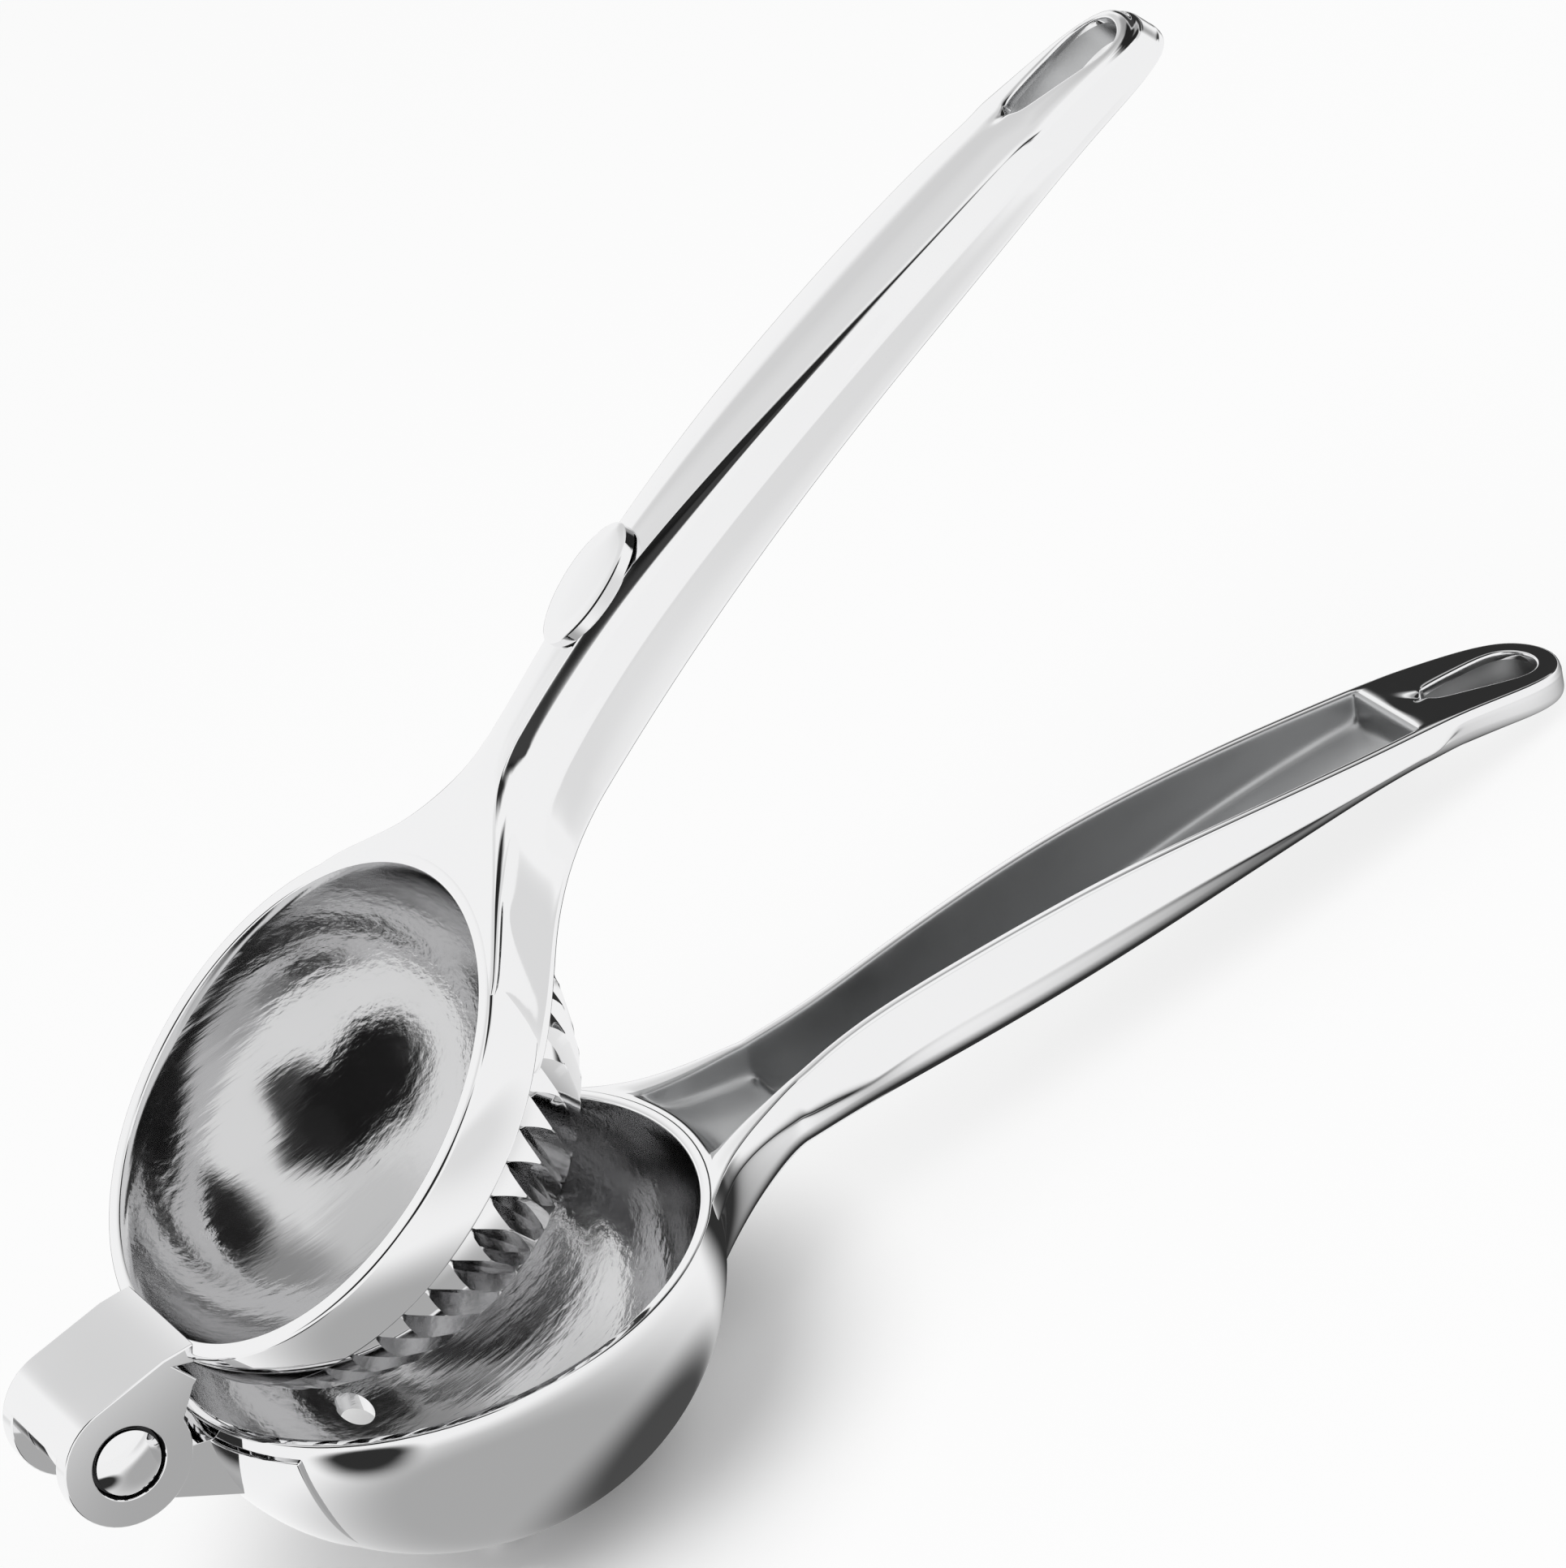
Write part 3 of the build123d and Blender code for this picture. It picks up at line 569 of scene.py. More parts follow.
class SQUEEZER_OT_bowl(bpy.types.Operator):
    """Spin the bowl, grind its foot and drill its drain holes"""
    bl_idname = "squeezer.bowl"
    bl_label = "Bowl"

    def execute(self, context):
        size = sizes()
        axis_x, bore, outer = size["hinge_to_bowl"], size["bowl_bore"], size["bowl_bore"] + size["bowl_wall"]
        rim = -size["rim_below_pin"]
        turn = rim - size["bowl_straight"]
        drop = size["bowl_depth"] - size["bowl_straight"]
        bm = bmesh.new()
        outer_top, _ = bowl_curve(bm, outer, turn, drop + size["bowl_floor"], steps=36, axis_x=axis_x)
        inner_top, _ = bowl_curve(bm, bore, turn, drop, steps=36, axis_x=axis_x)
        rim_out, rim_in = chain(bm, [(axis_x + outer, rim), (axis_x + bore, rim)])
        bm.edges.new((outer_top, rim_out))
        bm.edges.new((inner_top, rim_in))
        round_off(bm, [rim_out, rim_in], size["edge_round"])
        turn_round(bm, axis_x, 160)
        bowl = new_object("bowl", bm, LOWER)
        # the foot, ground flat on the table
        bm = bmesh.new()
        bm.from_mesh(bowl.data)
        sliced = bmesh.ops.bisect_plane(bm, geom=bm.verts[:] + bm.edges[:] + bm.faces[:], dist=1e-7,
                                        plane_co=(0, 0, 0), plane_no=(0, 0, 1), clear_inner=True)
        bmesh.ops.edgeloop_fill(bm, edges=[e for e in sliced["geom_cut"] if isinstance(e, bmesh.types.BMEdge)])
        bmesh.ops.recalc_face_normals(bm, faces=bm.faces)
        bm.to_mesh(bowl.data)
        bm.free()
        # drain holes
        bm = bmesh.new()
        for circle, count in ((10.5, 6), (22.0, 3)):
            for k in range(count):
                spot = Matrix.Translation((axis_x, 0, rim - size["bowl_depth"])) @ \
                    Matrix.Rotation(tau * k / count, 4, "Z") @ Matrix.Translation((circle, 0, 0))
                bmesh.ops.create_cone(bm, cap_ends=True, segments=40, radius1=size["drain_hole"] / 2,
                                      radius2=size["drain_hole"] / 2, depth=36, matrix=spot)
        cut(bowl, new_object("drain holes", bm, LOWER))
        for polygon in bowl.data.polygons:
            polygon.material_index = 0
        inside = LOWER.inverted()
        for polygon in bowl.data.polygons:
            middle = inside @ polygon.center
            inward = (inside.to_3x3() @ polygon.normal).normalized().dot(
                (Vector((axis_x, 0, 0)) - middle).normalized()) > 0.2
            polygon.material_index = 1 if inward and middle.z < rim - size["edge_round"] else 0
        finish_piece(bowl, "bowl_side", [polished_metal(), brushed_metal()], ["lower_lever"], 35)
        return {"FINISHED"}


class SQUEEZER_OT_hinge_lug(bpy.types.Operator):
    """Build the lug that carries the pin in front of the bowl"""
    bl_idname = "squeezer.hinge_lug"
    bl_label = "Hinge Lug"

    def execute(self, context):
        bm = bmesh.new()
        boss = 6.5
        start = (boss * cos(radians(-35)), boss * sin(radians(-35)))
        top_root, low_root = (12.5, -5.4), (14.2, -15.5)
        reach = sqrt(low_root[0] ** 2 + low_root[1] ** 2)
        touch = atan2(low_root[1], low_root[0]) - (pi / 2 - asin(boss / reach))
        first = chain(bm, [low_root, top_root, start])
        spun = bmesh.ops.spin(bm, geom=[first[-1]], cent=(0, 0, 0), axis=(0, 1, 0),
                              angle=-(tau + touch + radians(35)), steps=28)
        last = next(v for v in spun["geom_last"] if isinstance(v, bmesh.types.BMVert))
        bm.edges.new((last, first[0]))
        hole = bmesh.ops.create_circle(bm, segments=48, radius=3.06, matrix=Matrix.Rotation(radians(90), 4, "X"))
        bmesh.ops.bridge_loops(bm, edges=bm.edges[:])
        slab = bmesh.ops.extrude_face_region(bm, geom=bm.faces[:])
        moved = [v for v in slab["geom"] if isinstance(v, bmesh.types.BMVert)]
        bmesh.ops.translate(bm, vec=(0, 12.2, 0), verts=moved)
        bmesh.ops.translate(bm, vec=(0, -6.1, 0), verts=bm.verts)
        bmesh.ops.recalc_face_normals(bm, faces=bm.faces)
        lug = new_object("hinge_lug", bm, LOWER)
        soften(lug, 0.8)
        finish_piece(lug, "bowl_side", [polished_metal()])
        return {"FINISHED"}


class SQUEEZER_OT_lug_pad(bpy.types.Operator):
    """Raise the pad that spreads the lug over the bowl's side"""
    bl_idname = "squeezer.lug_pad"
    bl_label = "Lug Pad"

    def execute(self, context):
        size = sizes()
        axis_x, outer = size["hinge_to_bowl"], size["bowl_bore"] + size["bowl_wall"]
        turn = -size["rim_below_pin"] - size["bowl_straight"]
        drop = size["bowl_depth"] - size["bowl_straight"] + size["bowl_floor"]
        bm = bmesh.new()
        proud, low = 0.55, 38.0
        rims = []
        for off in (proud, -0.4):
            start = bm.verts.new((-(outer + off), 0, 0))
            known = set(bm.verts)
            bmesh.ops.spin(bm, geom=[start], cent=(0, 0, 0), axis=(0, 1, 0), angle=-radians(low), steps=18)
            line = [start] + [v for v in bm.verts if v not in known]
            bmesh.ops.scale(bm, vec=(1, 1, (drop + off) / (outer + off)), verts=line)
            bmesh.ops.translate(bm, vec=(axis_x, 0, turn), verts=line)
            rims.append(line)
        for k in (0, -1):
            bm.edges.new((rims[0][k], rims[1][k]))
        edges = bm.edges[:]
        bmesh.ops.edgeloop_fill(bm, edges=edges)
        bmesh.ops.spin(bm, geom=bm.faces[:], cent=(axis_x, 0, 0), axis=(0, 0, 1), angle=radians(66), steps=24)
        bmesh.ops.rotate(bm, cent=(axis_x, 0, 0), matrix=Matrix.Rotation(radians(-33), 3, "Z"), verts=bm.verts)
        # its sides draw in towards the bottom
        for vert in bm.verts:
            fall = max((turn - 6 - vert.co.z) / 14, 0)
            vert.co.y *= 1 - 0.10 * min(fall, 1) ** 2
        bmesh.ops.recalc_face_normals(bm, faces=bm.faces)
        pad = new_object("lug_pad", bm, LOWER)
        soften(pad, 0.3)
        finish_piece(pad, "bowl_side", [polished_metal()])
        return {"FINISHED"}


class SQUEEZER_OT_lower_handle(bpy.types.Operator):
    """Shape the lower handle with its upward channel and hanging slot"""
    bl_idname = "squeezer.lower_handle"
    bl_label = "Lower Handle"

    def execute(self, context):
        edge = [(100.0, 4.9), (104.5, 5.0), (109.0, 5.2), (114.8, 5.6), (125.8, 6.6), (145.0, 7.8), (167.0, 8.6),
                (180.0, 8.6), (191.8, 8.2), (205.5, 7.6), (218.2, 6.0)]
        handle = Handle(1, 36.6, -5.3, 33.2, LOWER_OPEN, LOWER_BACK, LOWER_FLOOR, LOWER_HALF, edge, 0.7, [(100.0, 2.2)], 1.7,
                        {"narrow_x": 204.0, "wide_x": 214.6, "narrow": 2.0, "wide": 4.2, "edge": 0.93},
                        {"centre": 214.4, "radius": 7.6}, LOWER_NECK, LOWER_BODY, 196.0)
        axis_x = sizes()["hinge_to_bowl"]
        bm = build_handle(handle, axis_x)
        close_handle(bm, handle, axis_x)
        piece = new_object("lower_handle", bm, LOWER)
        smooth_form(piece, 3)
        finish_piece(piece, "bowl_side", [polished_metal(), bare_casting()])
        return {"FINISHED"}


class SQUEEZER_OT_press_ring(bpy.types.Operator):
    """Spin the press ring with its bevel and open cup"""
    bl_idname = "squeezer.press_ring"
    bl_label = "Press Ring and Cup"

    def execute(self, context):
        size = sizes()
        axis_x, ring, top = size["hinge_to_bowl"], size["ring_radius"], size["ring_top"]
        cup, wall = size["cup_radius"], 1.2
        low = top - size["ring_height"]
        bm = bmesh.new()
        inner_top, _ = bowl_curve(bm, cup, 0.0, size["cup_depth"], steps=36, axis_x=axis_x)
        first = degrees(asin(-low / (size["cup_depth"] + wall)))
        outer_top, _ = bowl_curve(bm, cup + wall, 0.0, size["cup_depth"] + wall, first=first, steps=24,
                                  axis_x=axis_x)
        points = chain(bm, [(axis_x + cup + 0.25, top), (axis_x + ring, top), (axis_x + ring, low)])
        bm.edges.new((inner_top, points[0]))
        bm.edges.new((points[-1], outer_top))
        round_off(bm, [points[0]], 0.25, 3)
        round_off(bm, [points[1]], 0.55, 5)
        round_off(bm, [points[2]], 0.45, 4)
        turn_round(bm, axis_x, 160)
        for face in bm.faces:
            middle = face.calc_center_median()
            out = Vector((middle.x - axis_x, middle.y, 0))
            face.material_index = 1 if out.length < cup + 0.1 and middle.z < 0.05 and face.normal.dot(
                Vector((axis_x, 0, 0)) - middle) > 0 else 0
        ring_piece = new_object("press_ring", bm, UPPER)
        finish_piece(ring_piece, "press_side", [polished_metal(), brushed_metal()], ["upper_lever"], 50)
        return {"FINISHED"}


class SQUEEZER_OT_hinge_hood(bpy.types.Operator):
    """Build the hood: two ears under a web that is rolled over the pin"""
    bl_idname = "squeezer.hinge_hood"
    bl_label = "Hinge Hood"

    def execute(self, context):
        size = sizes()
        ear, half = size["ear_radius"], size["hood_width"] / 2
        ring, axis_x = size["ring_radius"], size["hinge_to_bowl"]
        front = axis_x - ring * cos(asin(half / ring)) - 1.8
        inner = half - 2.8

        def prism(name, points, half_width, circle=None):
            bm = bmesh.new()
            corners = chain(bm, points)
            bm.edges.new((corners[-1], corners[0]))
            if circle:
                bmesh.ops.remove_doubles(bm, verts=bm.verts, dist=0.001)
            face = bmesh.ops.edgeloop_fill(bm, edges=bm.edges[:])["faces"]
            slab = bmesh.ops.extrude_face_region(bm, geom=face)
            moved = [v for v in slab["geom"] if isinstance(v, bmesh.types.BMVert)]
            bmesh.ops.translate(bm, vec=(0, 2 * half_width, 0), verts=moved)
            bmesh.ops.translate(bm, vec=(0, -half_width, 0), verts=bm.verts)
            bmesh.ops.recalc_face_normals(bm, faces=bm.faces)
            return new_object(name, bm, UPPER)

        def touch(x, z, radius, turn):
            reach = sqrt(x * x + z * z)
            return atan2(z, x) + turn * (pi / 2 - asin(radius / reach))

        def round_about(radius, first, last, steps):
            return [(radius * cos(first + (last - first) * k / steps), radius * sin(first + (last - first) * k / steps))
                    for k in range(steps + 1)]

        # ear outline carried over the whole width
        top_touch = touch(front, 3.8, ear, 1)
        leave = asin(-3.4 / ear)
        seat = axis_x - ring
        outline = [(seat + 3.2, 1.4), (front, 3.8)] + round_about(ear, top_touch, tau + leave, 40)
        outline += [(12.0, -2.0), (front, -2.0), (front, 1.9), (seat + 1.2, -0.3)]
        hood = prism("hinge_hood", outline, half)
        # pocket for the lug
        inner_r = ear - 1.7
        pocket_x, pocket_z = front - 2.6, 3.8 - 1.7
        pocket = round_about(inner_r, touch(pocket_x, pocket_z, inner_r, 1), radians(118), 14)
        far = [(2 * ear * cos(radians(118)), 2 * ear * sin(radians(118))), (-2 * ear, 0), (-2 * ear, -2 * ear),
               (pocket_x, -2 * ear), (pocket_x, pocket_z)]
        cut(hood, prism("pocket", pocket + far, inner))
        bm = bmesh.new()
        spin_up = Matrix.Rotation(radians(90), 4, "X")
        bmesh.ops.create_cone(bm, cap_ends=True, segments=64, radius1=3.03, radius2=3.03, depth=3 * half,
                              matrix=spin_up)
        cut(hood, new_object("pin hole", bm, UPPER))
        bm = bmesh.new()
        for way in (-1, 1):
            bmesh.ops.create_cone(bm, cap_ends=True, segments=64, radius1=size["head_radius"] + 0.55,
                                  radius2=size["head_radius"] + 0.55, depth=3.0,
                                  matrix=Matrix.Translation((0, way * half, 0)) @ spin_up)
        cut(hood, new_object("head recesses", bm, UPPER))
        seen = UPPER.inverted()
        # faces in the recesses round the rivet's heads get the painted shade
        for polygon in hood.data.polygons:
            middle = seen @ polygon.center
            shaded_recess = half - 1.6 < abs(middle.y) < half - 0.05 and hypot(middle.x, middle.z) < size["head_radius"] + 0.65
            polygon.material_index = 1 if shaded_recess else 0
        soften(hood, 0.4, angle=28)
        finish_piece(hood, "press_side", [polished_metal(), recess_painted_shade()])
        return {"FINISHED"}


class SQUEEZER_OT_upper_handle(bpy.types.Operator):
    """Shape the neck and the upper handle with its downward channel and hanging slot"""
    bl_idname = "squeezer.upper_handle"
    bl_label = "Upper Handle"

    def execute(self, context):
        floor = [(x, z - 2.0) for x, z in UPPER_BACK]
        handle = Handle(-1, 34.4, 0, None, UPPER_OPEN, UPPER_BACK, floor, UPPER_HALF, UPPER_EDGE, 1.5, UPPER_CORNER, 1.6,
                        {"narrow_x": 199.6, "wide_x": 210.2, "narrow": 2.0, "wide": 4.2, "edge": 0.95},
                        {"centre": 210.8, "radius": 6.2}, UPPER_NECK, UPPER_BODY, 191.0)
        axis_x = sizes()["hinge_to_bowl"]
        bm = build_handle(handle, axis_x)
        close_handle(bm, handle, axis_x)
        piece = new_object("upper_handle", bm, UPPER)
        smooth_form(piece, 3)
        finish_piece(piece, "press_side", [polished_metal(), bare_casting()])
        return {"FINISHED"}


class SQUEEZER_OT_press_dome(bpy.types.Operator):
    """Spin the press dome and press its flutes into it"""
    bl_idname = "squeezer.press_dome"
    bl_label = "Press Dome"

    def execute(self, context):
        size = sizes()
        axis_x, radius, depth = size["hinge_to_bowl"], size["dome_radius"], size["dome_depth"]
        seam = size["ring_top"] - size["ring_height"]
        count = size["flute_count"]
        lean, spread = radians(31), radians(44)
        sector = tau / count
        columns = (0.0, 0.5, 1.0, 1.12, 1.4, 2.0)
        bm = bmesh.new()
        outer_top, _ = bowl_curve(bm, radius, 0.0, depth, steps=44)
        first = degrees(asin(-seam / 28.2))
        inner_top, _ = bowl_curve(bm, 33.2, -seam, 28.2, first=first, steps=16)
        bm.edges.new((outer_top, inner_top))
        bmesh.ops.spin(bm, geom=bm.verts[:] + bm.edges[:], cent=(0, 0, 0), axis=(0, 0, 1), angle=sector,
                       steps=10, use_merge=False)
        places = (-2.0, -1.4, -1.12, -1.0, -0.5, 0.0, 0.5, 1.0, 1.12, 1.4, 2.0)
        for vert in bm.verts:
            flat = sqrt(vert.co.x ** 2 + vert.co.y ** 2)
            if flat < 1e-4:
                continue
            down = -vert.co.z
            angle = atan2(vert.co.y, vert.co.x)
            step = places[round(angle / sector * 10)]
            outer = radius * sqrt(max(1 - (down / depth) ** 2, 0))
            if abs(flat - outer) > 0.02:
                continue
            keel = radius - down * tan(lean)
            half_pitch = flat * sector / 2
            groove = max((outer - keel) * cos(lean) * tan(spread), 0.0)
            groove = min(max(groove, 0.12 * half_pitch), 0.94 * half_pitch)
            way = abs(step)
            across = groove * way if way <= 1 else groove + (half_pitch - groove) * (way - 1)
            wall = max(keel, 0) + across / tan(spread) / cos(lean)
            reach = min(outer, wall) if down > 0.001 else outer
            turned = sector / 2 + (across if step > 0 else -across) / flat
            vert.co.x, vert.co.y = reach * cos(turned), reach * sin(turned)
        bmesh.ops.remove_doubles(bm, verts=bm.verts, dist=0.0005)
        bmesh.ops.spin(bm, geom=bm.verts[:] + bm.edges[:] + bm.faces[:], cent=(0, 0, 0), axis=(0, 0, 1),
                       angle=tau, steps=count, use_duplicate=True)
        bmesh.ops.remove_doubles(bm, verts=bm.verts, dist=0.003)
        bmesh.ops.translate(bm, vec=(axis_x, 0, seam), verts=bm.verts)
        bmesh.ops.recalc_face_normals(bm, faces=bm.faces)
        dome = new_object("fluted_dome", bm, UPPER)
        finish_piece(dome, "press_side", [polished_metal()], ["press_dome"], 24)
        return {"FINISHED"}


class SQUEEZER_OT_rivet(bpy.types.Operator):
    """Spin the hinge rivet with its two domed heads"""
    bl_idname = "squeezer.rivet"
    bl_label = "Hinge Rivet"

    def execute(self, context):
        size = sizes()
        half, head, crown = size["hood_width"] / 2, size["head_radius"], size["head_crown"]
        bm = bmesh.new()
        for way in (-1, 1):
            rise = crown + 0.12
            ball = (head * head + rise * rise) / (2 * rise)
            lean = asin(head / ball)
            spots = [(3.0, 0), (3.0, half - 1.5), (head, half - 1.5), (head, half - 0.12)]
            corners = [bm.verts.new((x, way * y, 0)) for x, y in spots]
            for a, b in zip(corners, corners[1:]):
                bm.edges.new((a, b))
            bmesh.ops.spin(bm, geom=[corners[-1]], cent=(0, way * (half + crown - ball), 0), axis=(0, 0, 1),
                           angle=way * lean, steps=10)
        bmesh.ops.spin(bm, geom=bm.verts[:] + bm.edges[:], cent=(0, 0, 0), axis=(0, 1, 0), angle=tau, steps=64,
                       use_merge=True)
        bmesh.ops.remove_doubles(bm, verts=bm.verts, dist=0.002)
        bmesh.ops.recalc_face_normals(bm, faces=bm.faces)
        rivet = new_object("rivet", bm, UPPER)
        finish_piece(rivet, "press_side", [polished_metal()], ["hinge_rivet"], 40)
        return {"FINISHED"}


class SQUEEZER_OT_badge(bpy.types.Operator):
    """Shape the bare oval badge plate"""
    bl_idname = "squeezer.badge"
    bl_label = "Badge Plate"

    def execute(self, context):
        bm = bmesh.new()
        long_r, wide_r, low, high = 8.65, 4.65, 4.3, 6.0
        points = chain(bm, [(0, low), (1, low), (1, high - 0.25)])
        bmesh.ops.spin(bm, geom=bm.verts[:] + bm.edges[:], cent=(0, 0, 0), axis=(0, 0, 1), angle=tau, steps=72,
                       use_merge=True)
        bmesh.ops.remove_doubles(bm, verts=bm.verts, dist=0.0005)
        rim = [e for e in bm.edges if e.is_boundary]
        top = bmesh.ops.edgeloop_fill(bm, edges=rim)["faces"]
        for inset, lift in ((0.03, 0.13), (0.04, 0.07), (0.08, 0.05), (0.25, 0.03), (0.3, 0.015)):
            bmesh.ops.inset_region(bm, faces=top, thickness=inset)
            bmesh.ops.translate(bm, vec=(0, 0, lift), verts=list({v for f in top for v in f.verts}))
        bmesh.ops.scale(bm, vec=(long_r, wide_r, 1), verts=bm.verts)
        bmesh.ops.translate(bm, vec=(121.0, 0, 0), verts=bm.verts)
        bmesh.ops.recalc_face_normals(bm, faces=bm.faces)
        badge = new_object("badge", bm, UPPER)
        finish_piece(badge, "press_side", [polished_metal()], ["badge_plate"], 40)
        return {"FINISHED"}


class SQUEEZER_OT_washers(bpy.types.Operator):
    """Give the two hidden washers their steel"""
    bl_idname = "squeezer.washers"
    bl_label = "Washers"

    def execute(self, context):
        for name in ("near_washer", "far_washer"):
            node = frame["nodes"][name]
            node.data.materials.clear()
            node.data.materials.append(bare_casting())
        return {"FINISHED"}


# the stage, as reflections see it: turn and rise of each dark flag, its full and its last angle, and its grey
STUDIO_FLAGS = ((100, 64, 8, 30, 0.78), (-8, 0, 14, 26, 0.76), (14, 32, 10, 24, 0.64), (84, 42, 6, 20, 0.70), (30, 50, 8, 30, 0.35), (-162, 42, 18, 30, 0.012), (-140, 60, 17, 27, 0.012),
                (-116, 45, 13, 20, 0.012), (-110, 64, 8, 17, 0.02), (-106, 38, 6, 14, 0.05), (-12, 40, 19, 30, 0.02),
                (41, 5, 18, 26, 0.03), (20, 2, 14, 21, 0.05))
# painted shadow and painted dark reflections on the floor, seen only in reflections: middle, half width and half depth
# of each dark oval in metres, its full and last reach, and its grey
PAINTED_FLOOR_SHADE = ((-0.078, -0.045, 0.060, 0.050, 0.5, 1.4, 0.42), (0.07, -0.20, 0.12, 0.10, 0.3, 1.3, 0.78),
                (-0.160, -0.055, 0.036, 0.036, 0.6, 1.2, 0.03), (-0.046, -0.021, 0.015, 0.013, 0.7, 1.9, 0.07),
                (0.045, 0.035, 0.115, 0.052, 0.8, 1.15, 0.03), (0.05, 0.29, 0.34, 0.20, 0.7, 1.05, 0.22),
                (1.45, 0.85, 1.1, 0.8, 0.7, 1.1, 0.06))


def blend_grey(nodes, link, value, low, high, start, end):
    """A grey that goes softly from start to end as value goes from low to high."""
    fall = nodes.new("ShaderNodeMapRange")
    fall.interpolation_type = "SMOOTHSTEP"
    fall.inputs["From Min"].default_value, fall.inputs["From Max"].default_value = low, high
    link(value, fall.inputs["Value"])
    mixed = nodes.new("ShaderNodeMix")
    link(fall.outputs["Result"], mixed.inputs["Factor"])
    if isinstance(start, float):
        mixed.inputs["A"].default_value = start
    else:
        link(start, mixed.inputs["A"])
    mixed.inputs["B"].default_value = end
    return mixed.outputs["Result"]


def oval(nodes, link, place, x, y, wide, deep):
    """How far a point of the floor is from an oval's middle, as a share of its size."""
    fit = nodes.new("ShaderNodeMapping")
    fit.inputs["Scale"].default_value = (1 / wide, 1 / deep, 0)
    fit.inputs["Location"].default_value = (-x / wide, -y / deep, 0)
    link(place.outputs["Object"], fit.inputs["Vector"])
    far = nodes.new("ShaderNodeVectorMath")
    far.operation = "LENGTH"
    link(fit.outputs["Vector"], far.inputs[0])
    return far.outputs["Value"]


class SQUEEZER_OT_stage(bpy.types.Operator):
    """Set the pale floor, the soft light, the dark flags in the world that the polished metal reflects, and the camera
    """
    bl_idname = "squeezer.stage"
    bl_label = "Stage"

    def execute(self, context):
        scene = bpy.context.scene
        scene.view_settings.view_transform = "Standard"
        looks = scene.squeezer_finishes
        # world
        world = bpy.data.worlds.new("studio")
        scene.world = world
        world.use_nodes = True
        nodes, link = world.node_tree.nodes, world.node_tree.links.new
        backdrop = nodes["Background"]
        backdrop.inputs["Strength"].default_value = 1.0
        way = nodes.new("ShaderNodeLightPath")
        # reflections see a white studio with soft dark flags in it
        sky = nodes.new("ShaderNodeTexCoord")
        drift = nodes.new("ShaderNodeTexNoise")
        drift.inputs["Scale"].default_value = 2.2
        drift.inputs["Detail"].default_value = 2.0
        link(sky.outputs["Generated"], drift.inputs["Vector"])
        swing = nodes.new("ShaderNodeVectorMath")
        swing.operation = "MULTIPLY_ADD"
        swing.inputs[1].default_value = (0.36, 0.36, 0.36)
        link(drift.outputs["Color"], swing.inputs[0])
        link(sky.outputs["Generated"], swing.inputs[2])
        toward = nodes.new("ShaderNodeVectorMath")
        toward.operation = "NORMALIZE"
        off = nodes.new("ShaderNodeVectorMath")
        off.operation = "SUBTRACT"
        off.inputs[1].default_value = (0.18, 0.18, 0.18)
        link(swing.outputs["Vector"], off.inputs[0])
        link(off.outputs["Vector"], toward.inputs[0])
        grey = 0.97
        for turn, rise, inner, outer, dark in STUDIO_FLAGS:
            facing = nodes.new("ShaderNodeVectorMath")
            facing.operation = "DOT_PRODUCT"
            facing.inputs[1].default_value = (cos(radians(rise)) * cos(radians(turn)),
                                              cos(radians(rise)) * sin(radians(turn)), sin(radians(rise)))
            link(toward.outputs["Vector"], facing.inputs[0])
            grey = blend_grey(nodes, link, facing.outputs["Value"], cos(radians(outer)), cos(radians(inner)), grey, dark)
        mirrored = nodes.new("ShaderNodeMix")
        mirrored.inputs["A"].default_value = 0.5
        link(way.outputs["Is Glossy Ray"], mirrored.inputs["Factor"])
        link(grey, mirrored.inputs["B"])
        straight = nodes.new("ShaderNodeMath")
        straight.operation = "MAXIMUM"
        link(way.outputs["Is Camera Ray"], straight.inputs[0])
        link(way.outputs["Is Transmission Ray"], straight.inputs[1])
        shade = nodes.new("ShaderNodeMix")
        shade.inputs["B"].default_value = 1.0
        link(straight.outputs["Value"], shade.inputs["Factor"])
        link(mirrored.outputs["Result"], shade.inputs["A"])
        link(shade.outputs["Result"], backdrop.inputs["Color"])
        # floor
        bm = bmesh.new()
        bmesh.ops.create_grid(bm, x_segments=1, y_segments=1, size=4.0)
        bmesh.ops.translate(bm, vec=(0, 0, -0.0002), verts=bm.verts)
        floor = new_object("floor", bm, Matrix.Identity(4))
        look = bpy.data.materials.new("pale_floor")
        look.use_nodes = True
        nodes, link = look.node_tree.nodes, look.node_tree.links.new
        shader = nodes["Principled BSDF"]
        shader.inputs["Base Color"].default_value = (*looks.floor, 1)
        shader.inputs["Roughness"].default_value = 0.9
        shader.inputs["Specular IOR Level"].default_value = 0.0
        place = nodes.new("ShaderNodeTexCoord")
        way = nodes.new("ShaderNodeLightPath")
        # straight on, the floor is nearly white, and keeps its shadow most under the bowl
        part = nodes.new("ShaderNodeMath")
        part.operation = "MULTIPLY"
        link(way.outputs["Is Camera Ray"], part.inputs[0])
        foot = MOUNTS["resting_foot"]["pos_m"]
        link(blend_grey(nodes, link, oval(nodes, link, place, foot[0], 0, 0.03, 0.03), 1.0, 1.9, 0.1, 0.8),
             part.inputs[1])
        glow = nodes.new("ShaderNodeEmission")
        both = nodes.new("ShaderNodeMixShader")
        link(part.outputs["Value"], both.inputs["Fac"])
        link(shader.outputs["BSDF"], both.inputs[1])
        link(glow.outputs["Emission"], both.inputs[2])
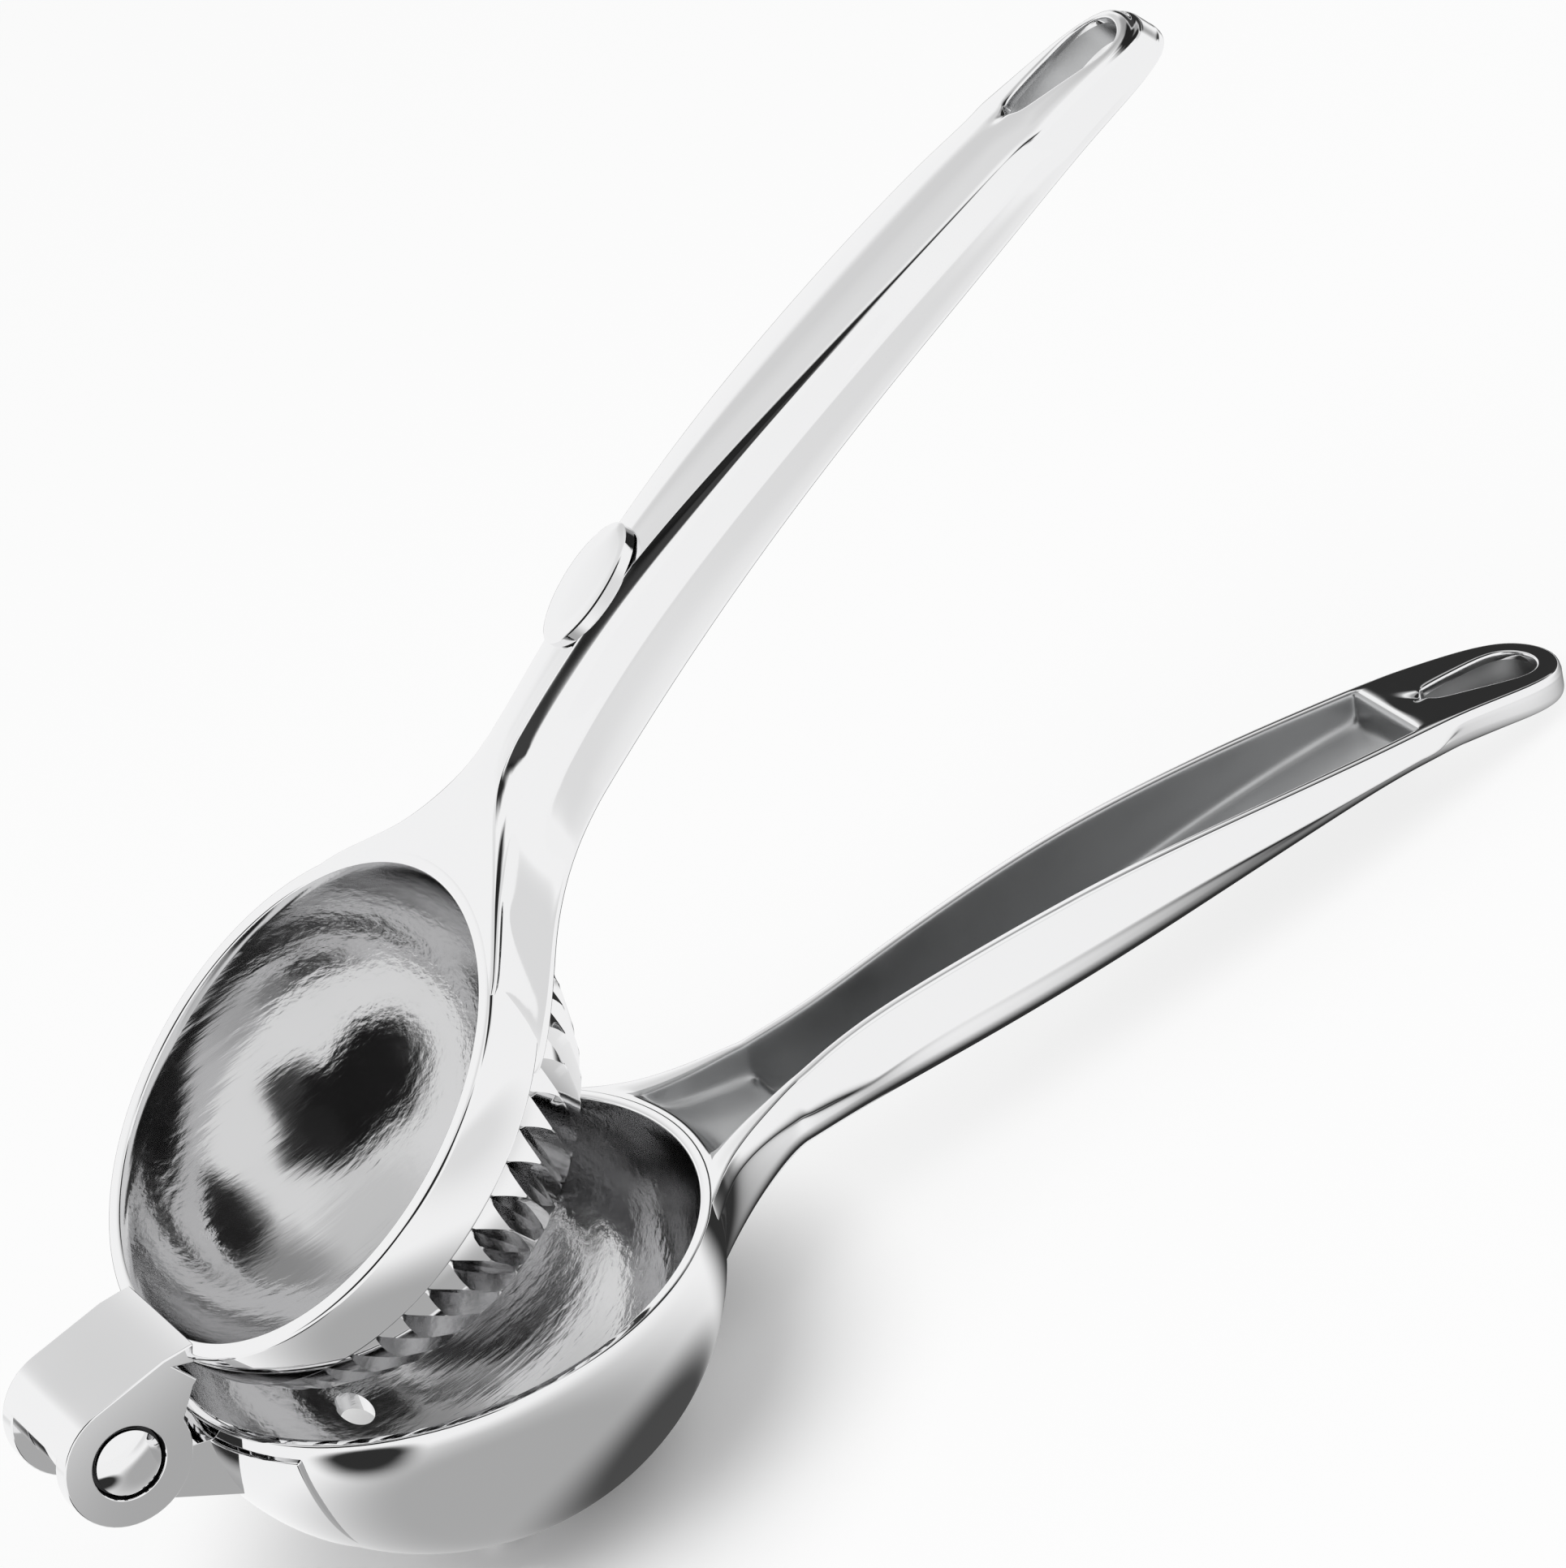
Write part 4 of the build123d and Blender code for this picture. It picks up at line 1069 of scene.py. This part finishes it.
        # in reflections it is pale, with soft dark ovals of painted shadow under the squeezer
        grey = 0.96
        for x, y, wide, deep, inner, outer, dark in PAINTED_FLOOR_SHADE:
            spot = oval(nodes, link, place, x, y, wide, deep)
            grey = blend_grey(nodes, link, spot, outer, inner, grey, dark)
        # the floor as reflections see it is a painted reflection: an emission of the pale grey with its painted shadows
        painted_reflection = nodes.new("ShaderNodeEmission")
        link(grey, painted_reflection.inputs["Color"])
        last = nodes.new("ShaderNodeMixShader")
        link(way.outputs["Is Glossy Ray"], last.inputs["Fac"])
        link(both.outputs["Shader"], last.inputs[1])
        link(painted_reflection.outputs["Emission"], last.inputs[2])
        link(last.outputs["Shader"], nodes["Material Output"].inputs["Surface"])
        floor.data.materials.append(look)
        # lamps
        for name, spot, size, power in (("key", (-0.5, -0.3, 1.3), 0.9, 9), ("fill", (0.9, -0.4, 0.9), 0.8, 4)):
            lamp = bpy.data.lights.new(name, "AREA")
            lamp.size, lamp.energy = size, power
            made = bpy.data.objects.new(name, lamp)
            scene.collection.objects.link(made)
            made.visible_glossy = False
            made.location = spot
            made.rotation_mode = "QUATERNION"
            made.rotation_quaternion = (Vector((0, 0, 0.05)) - Vector(spot)).to_track_quat("-Z", "Y")
        # camera
        camera = bpy.data.cameras.new("camera")
        camera.lens, camera.sensor_width, camera.sensor_fit = 186.335, 36.0, "AUTO"
        camera.clip_start, camera.clip_end = 0.05, 20.0
        view = bpy.data.objects.new("camera", camera)
        scene.collection.objects.link(view)
        right, down, ahead = (Vector((0.78147, -0.48434, -0.39335)), Vector((-0.58007, -0.33172, -0.74396)),
                              Vector((0.22985, 0.80955, -0.54018)))
        turn = Matrix((right, -down, -ahead)).transposed()
        view.matrix_world = Matrix.Translation((-0.22276, -0.82579, 0.61215)) @ turn.to_4x4()
        scene.camera = view
        return {"FINISHED"}


# ---- panel and registration ----------------------------------------------------------------

STEPS = (SQUEEZER_OT_stage, SQUEEZER_OT_bowl, SQUEEZER_OT_hinge_lug, SQUEEZER_OT_lug_pad, SQUEEZER_OT_lower_handle,
         SQUEEZER_OT_press_ring, SQUEEZER_OT_hinge_hood, SQUEEZER_OT_upper_handle, SQUEEZER_OT_press_dome,
         SQUEEZER_OT_rivet, SQUEEZER_OT_badge, SQUEEZER_OT_washers)


class SQUEEZER_PT_panel(bpy.types.Panel):
    """Lists the squeezer's sizes, finishes and pieces"""
    bl_idname = "SQUEEZER_PT_panel"
    bl_label = "Lemon Squeezer"
    bl_space_type = "VIEW_3D"
    bl_region_type = "UI"
    bl_category = "Squeezer"

    def draw(self, context):
        layout = self.layout
        for group in (context.scene.squeezer_sizes, context.scene.squeezer_finishes):
            box = layout.box()
            for name in type(group).__annotations__:
                box.prop(group, name)
        for step in STEPS:
            layout.operator(step.bl_idname)


CLASSES = (SqueezerSizes, SqueezerFinishes, *STEPS, SQUEEZER_PT_panel)


def register():
    for cls in CLASSES:
        bpy.utils.register_class(cls)
    bpy.types.Scene.squeezer_sizes = PointerProperty(type=SqueezerSizes)
    bpy.types.Scene.squeezer_finishes = PointerProperty(type=SqueezerFinishes)


def unregister():
    del bpy.types.Scene.squeezer_finishes
    del bpy.types.Scene.squeezer_sizes
    for cls in reversed(CLASSES):
        bpy.utils.unregister_class(cls)


def main():
    register()
    bpy.ops.squeezer.stage()
    bpy.ops.squeezer.bowl()
    bpy.ops.squeezer.hinge_lug()
    bpy.ops.squeezer.lug_pad()
    bpy.ops.squeezer.lower_handle()
    bpy.ops.squeezer.press_ring()
    bpy.ops.squeezer.hinge_hood()
    bpy.ops.squeezer.upper_handle()
    bpy.ops.squeezer.press_dome()
    bpy.ops.squeezer.rivet()
    bpy.ops.squeezer.badge()
    bpy.ops.squeezer.washers()


if __name__ == "__main__":
    main()
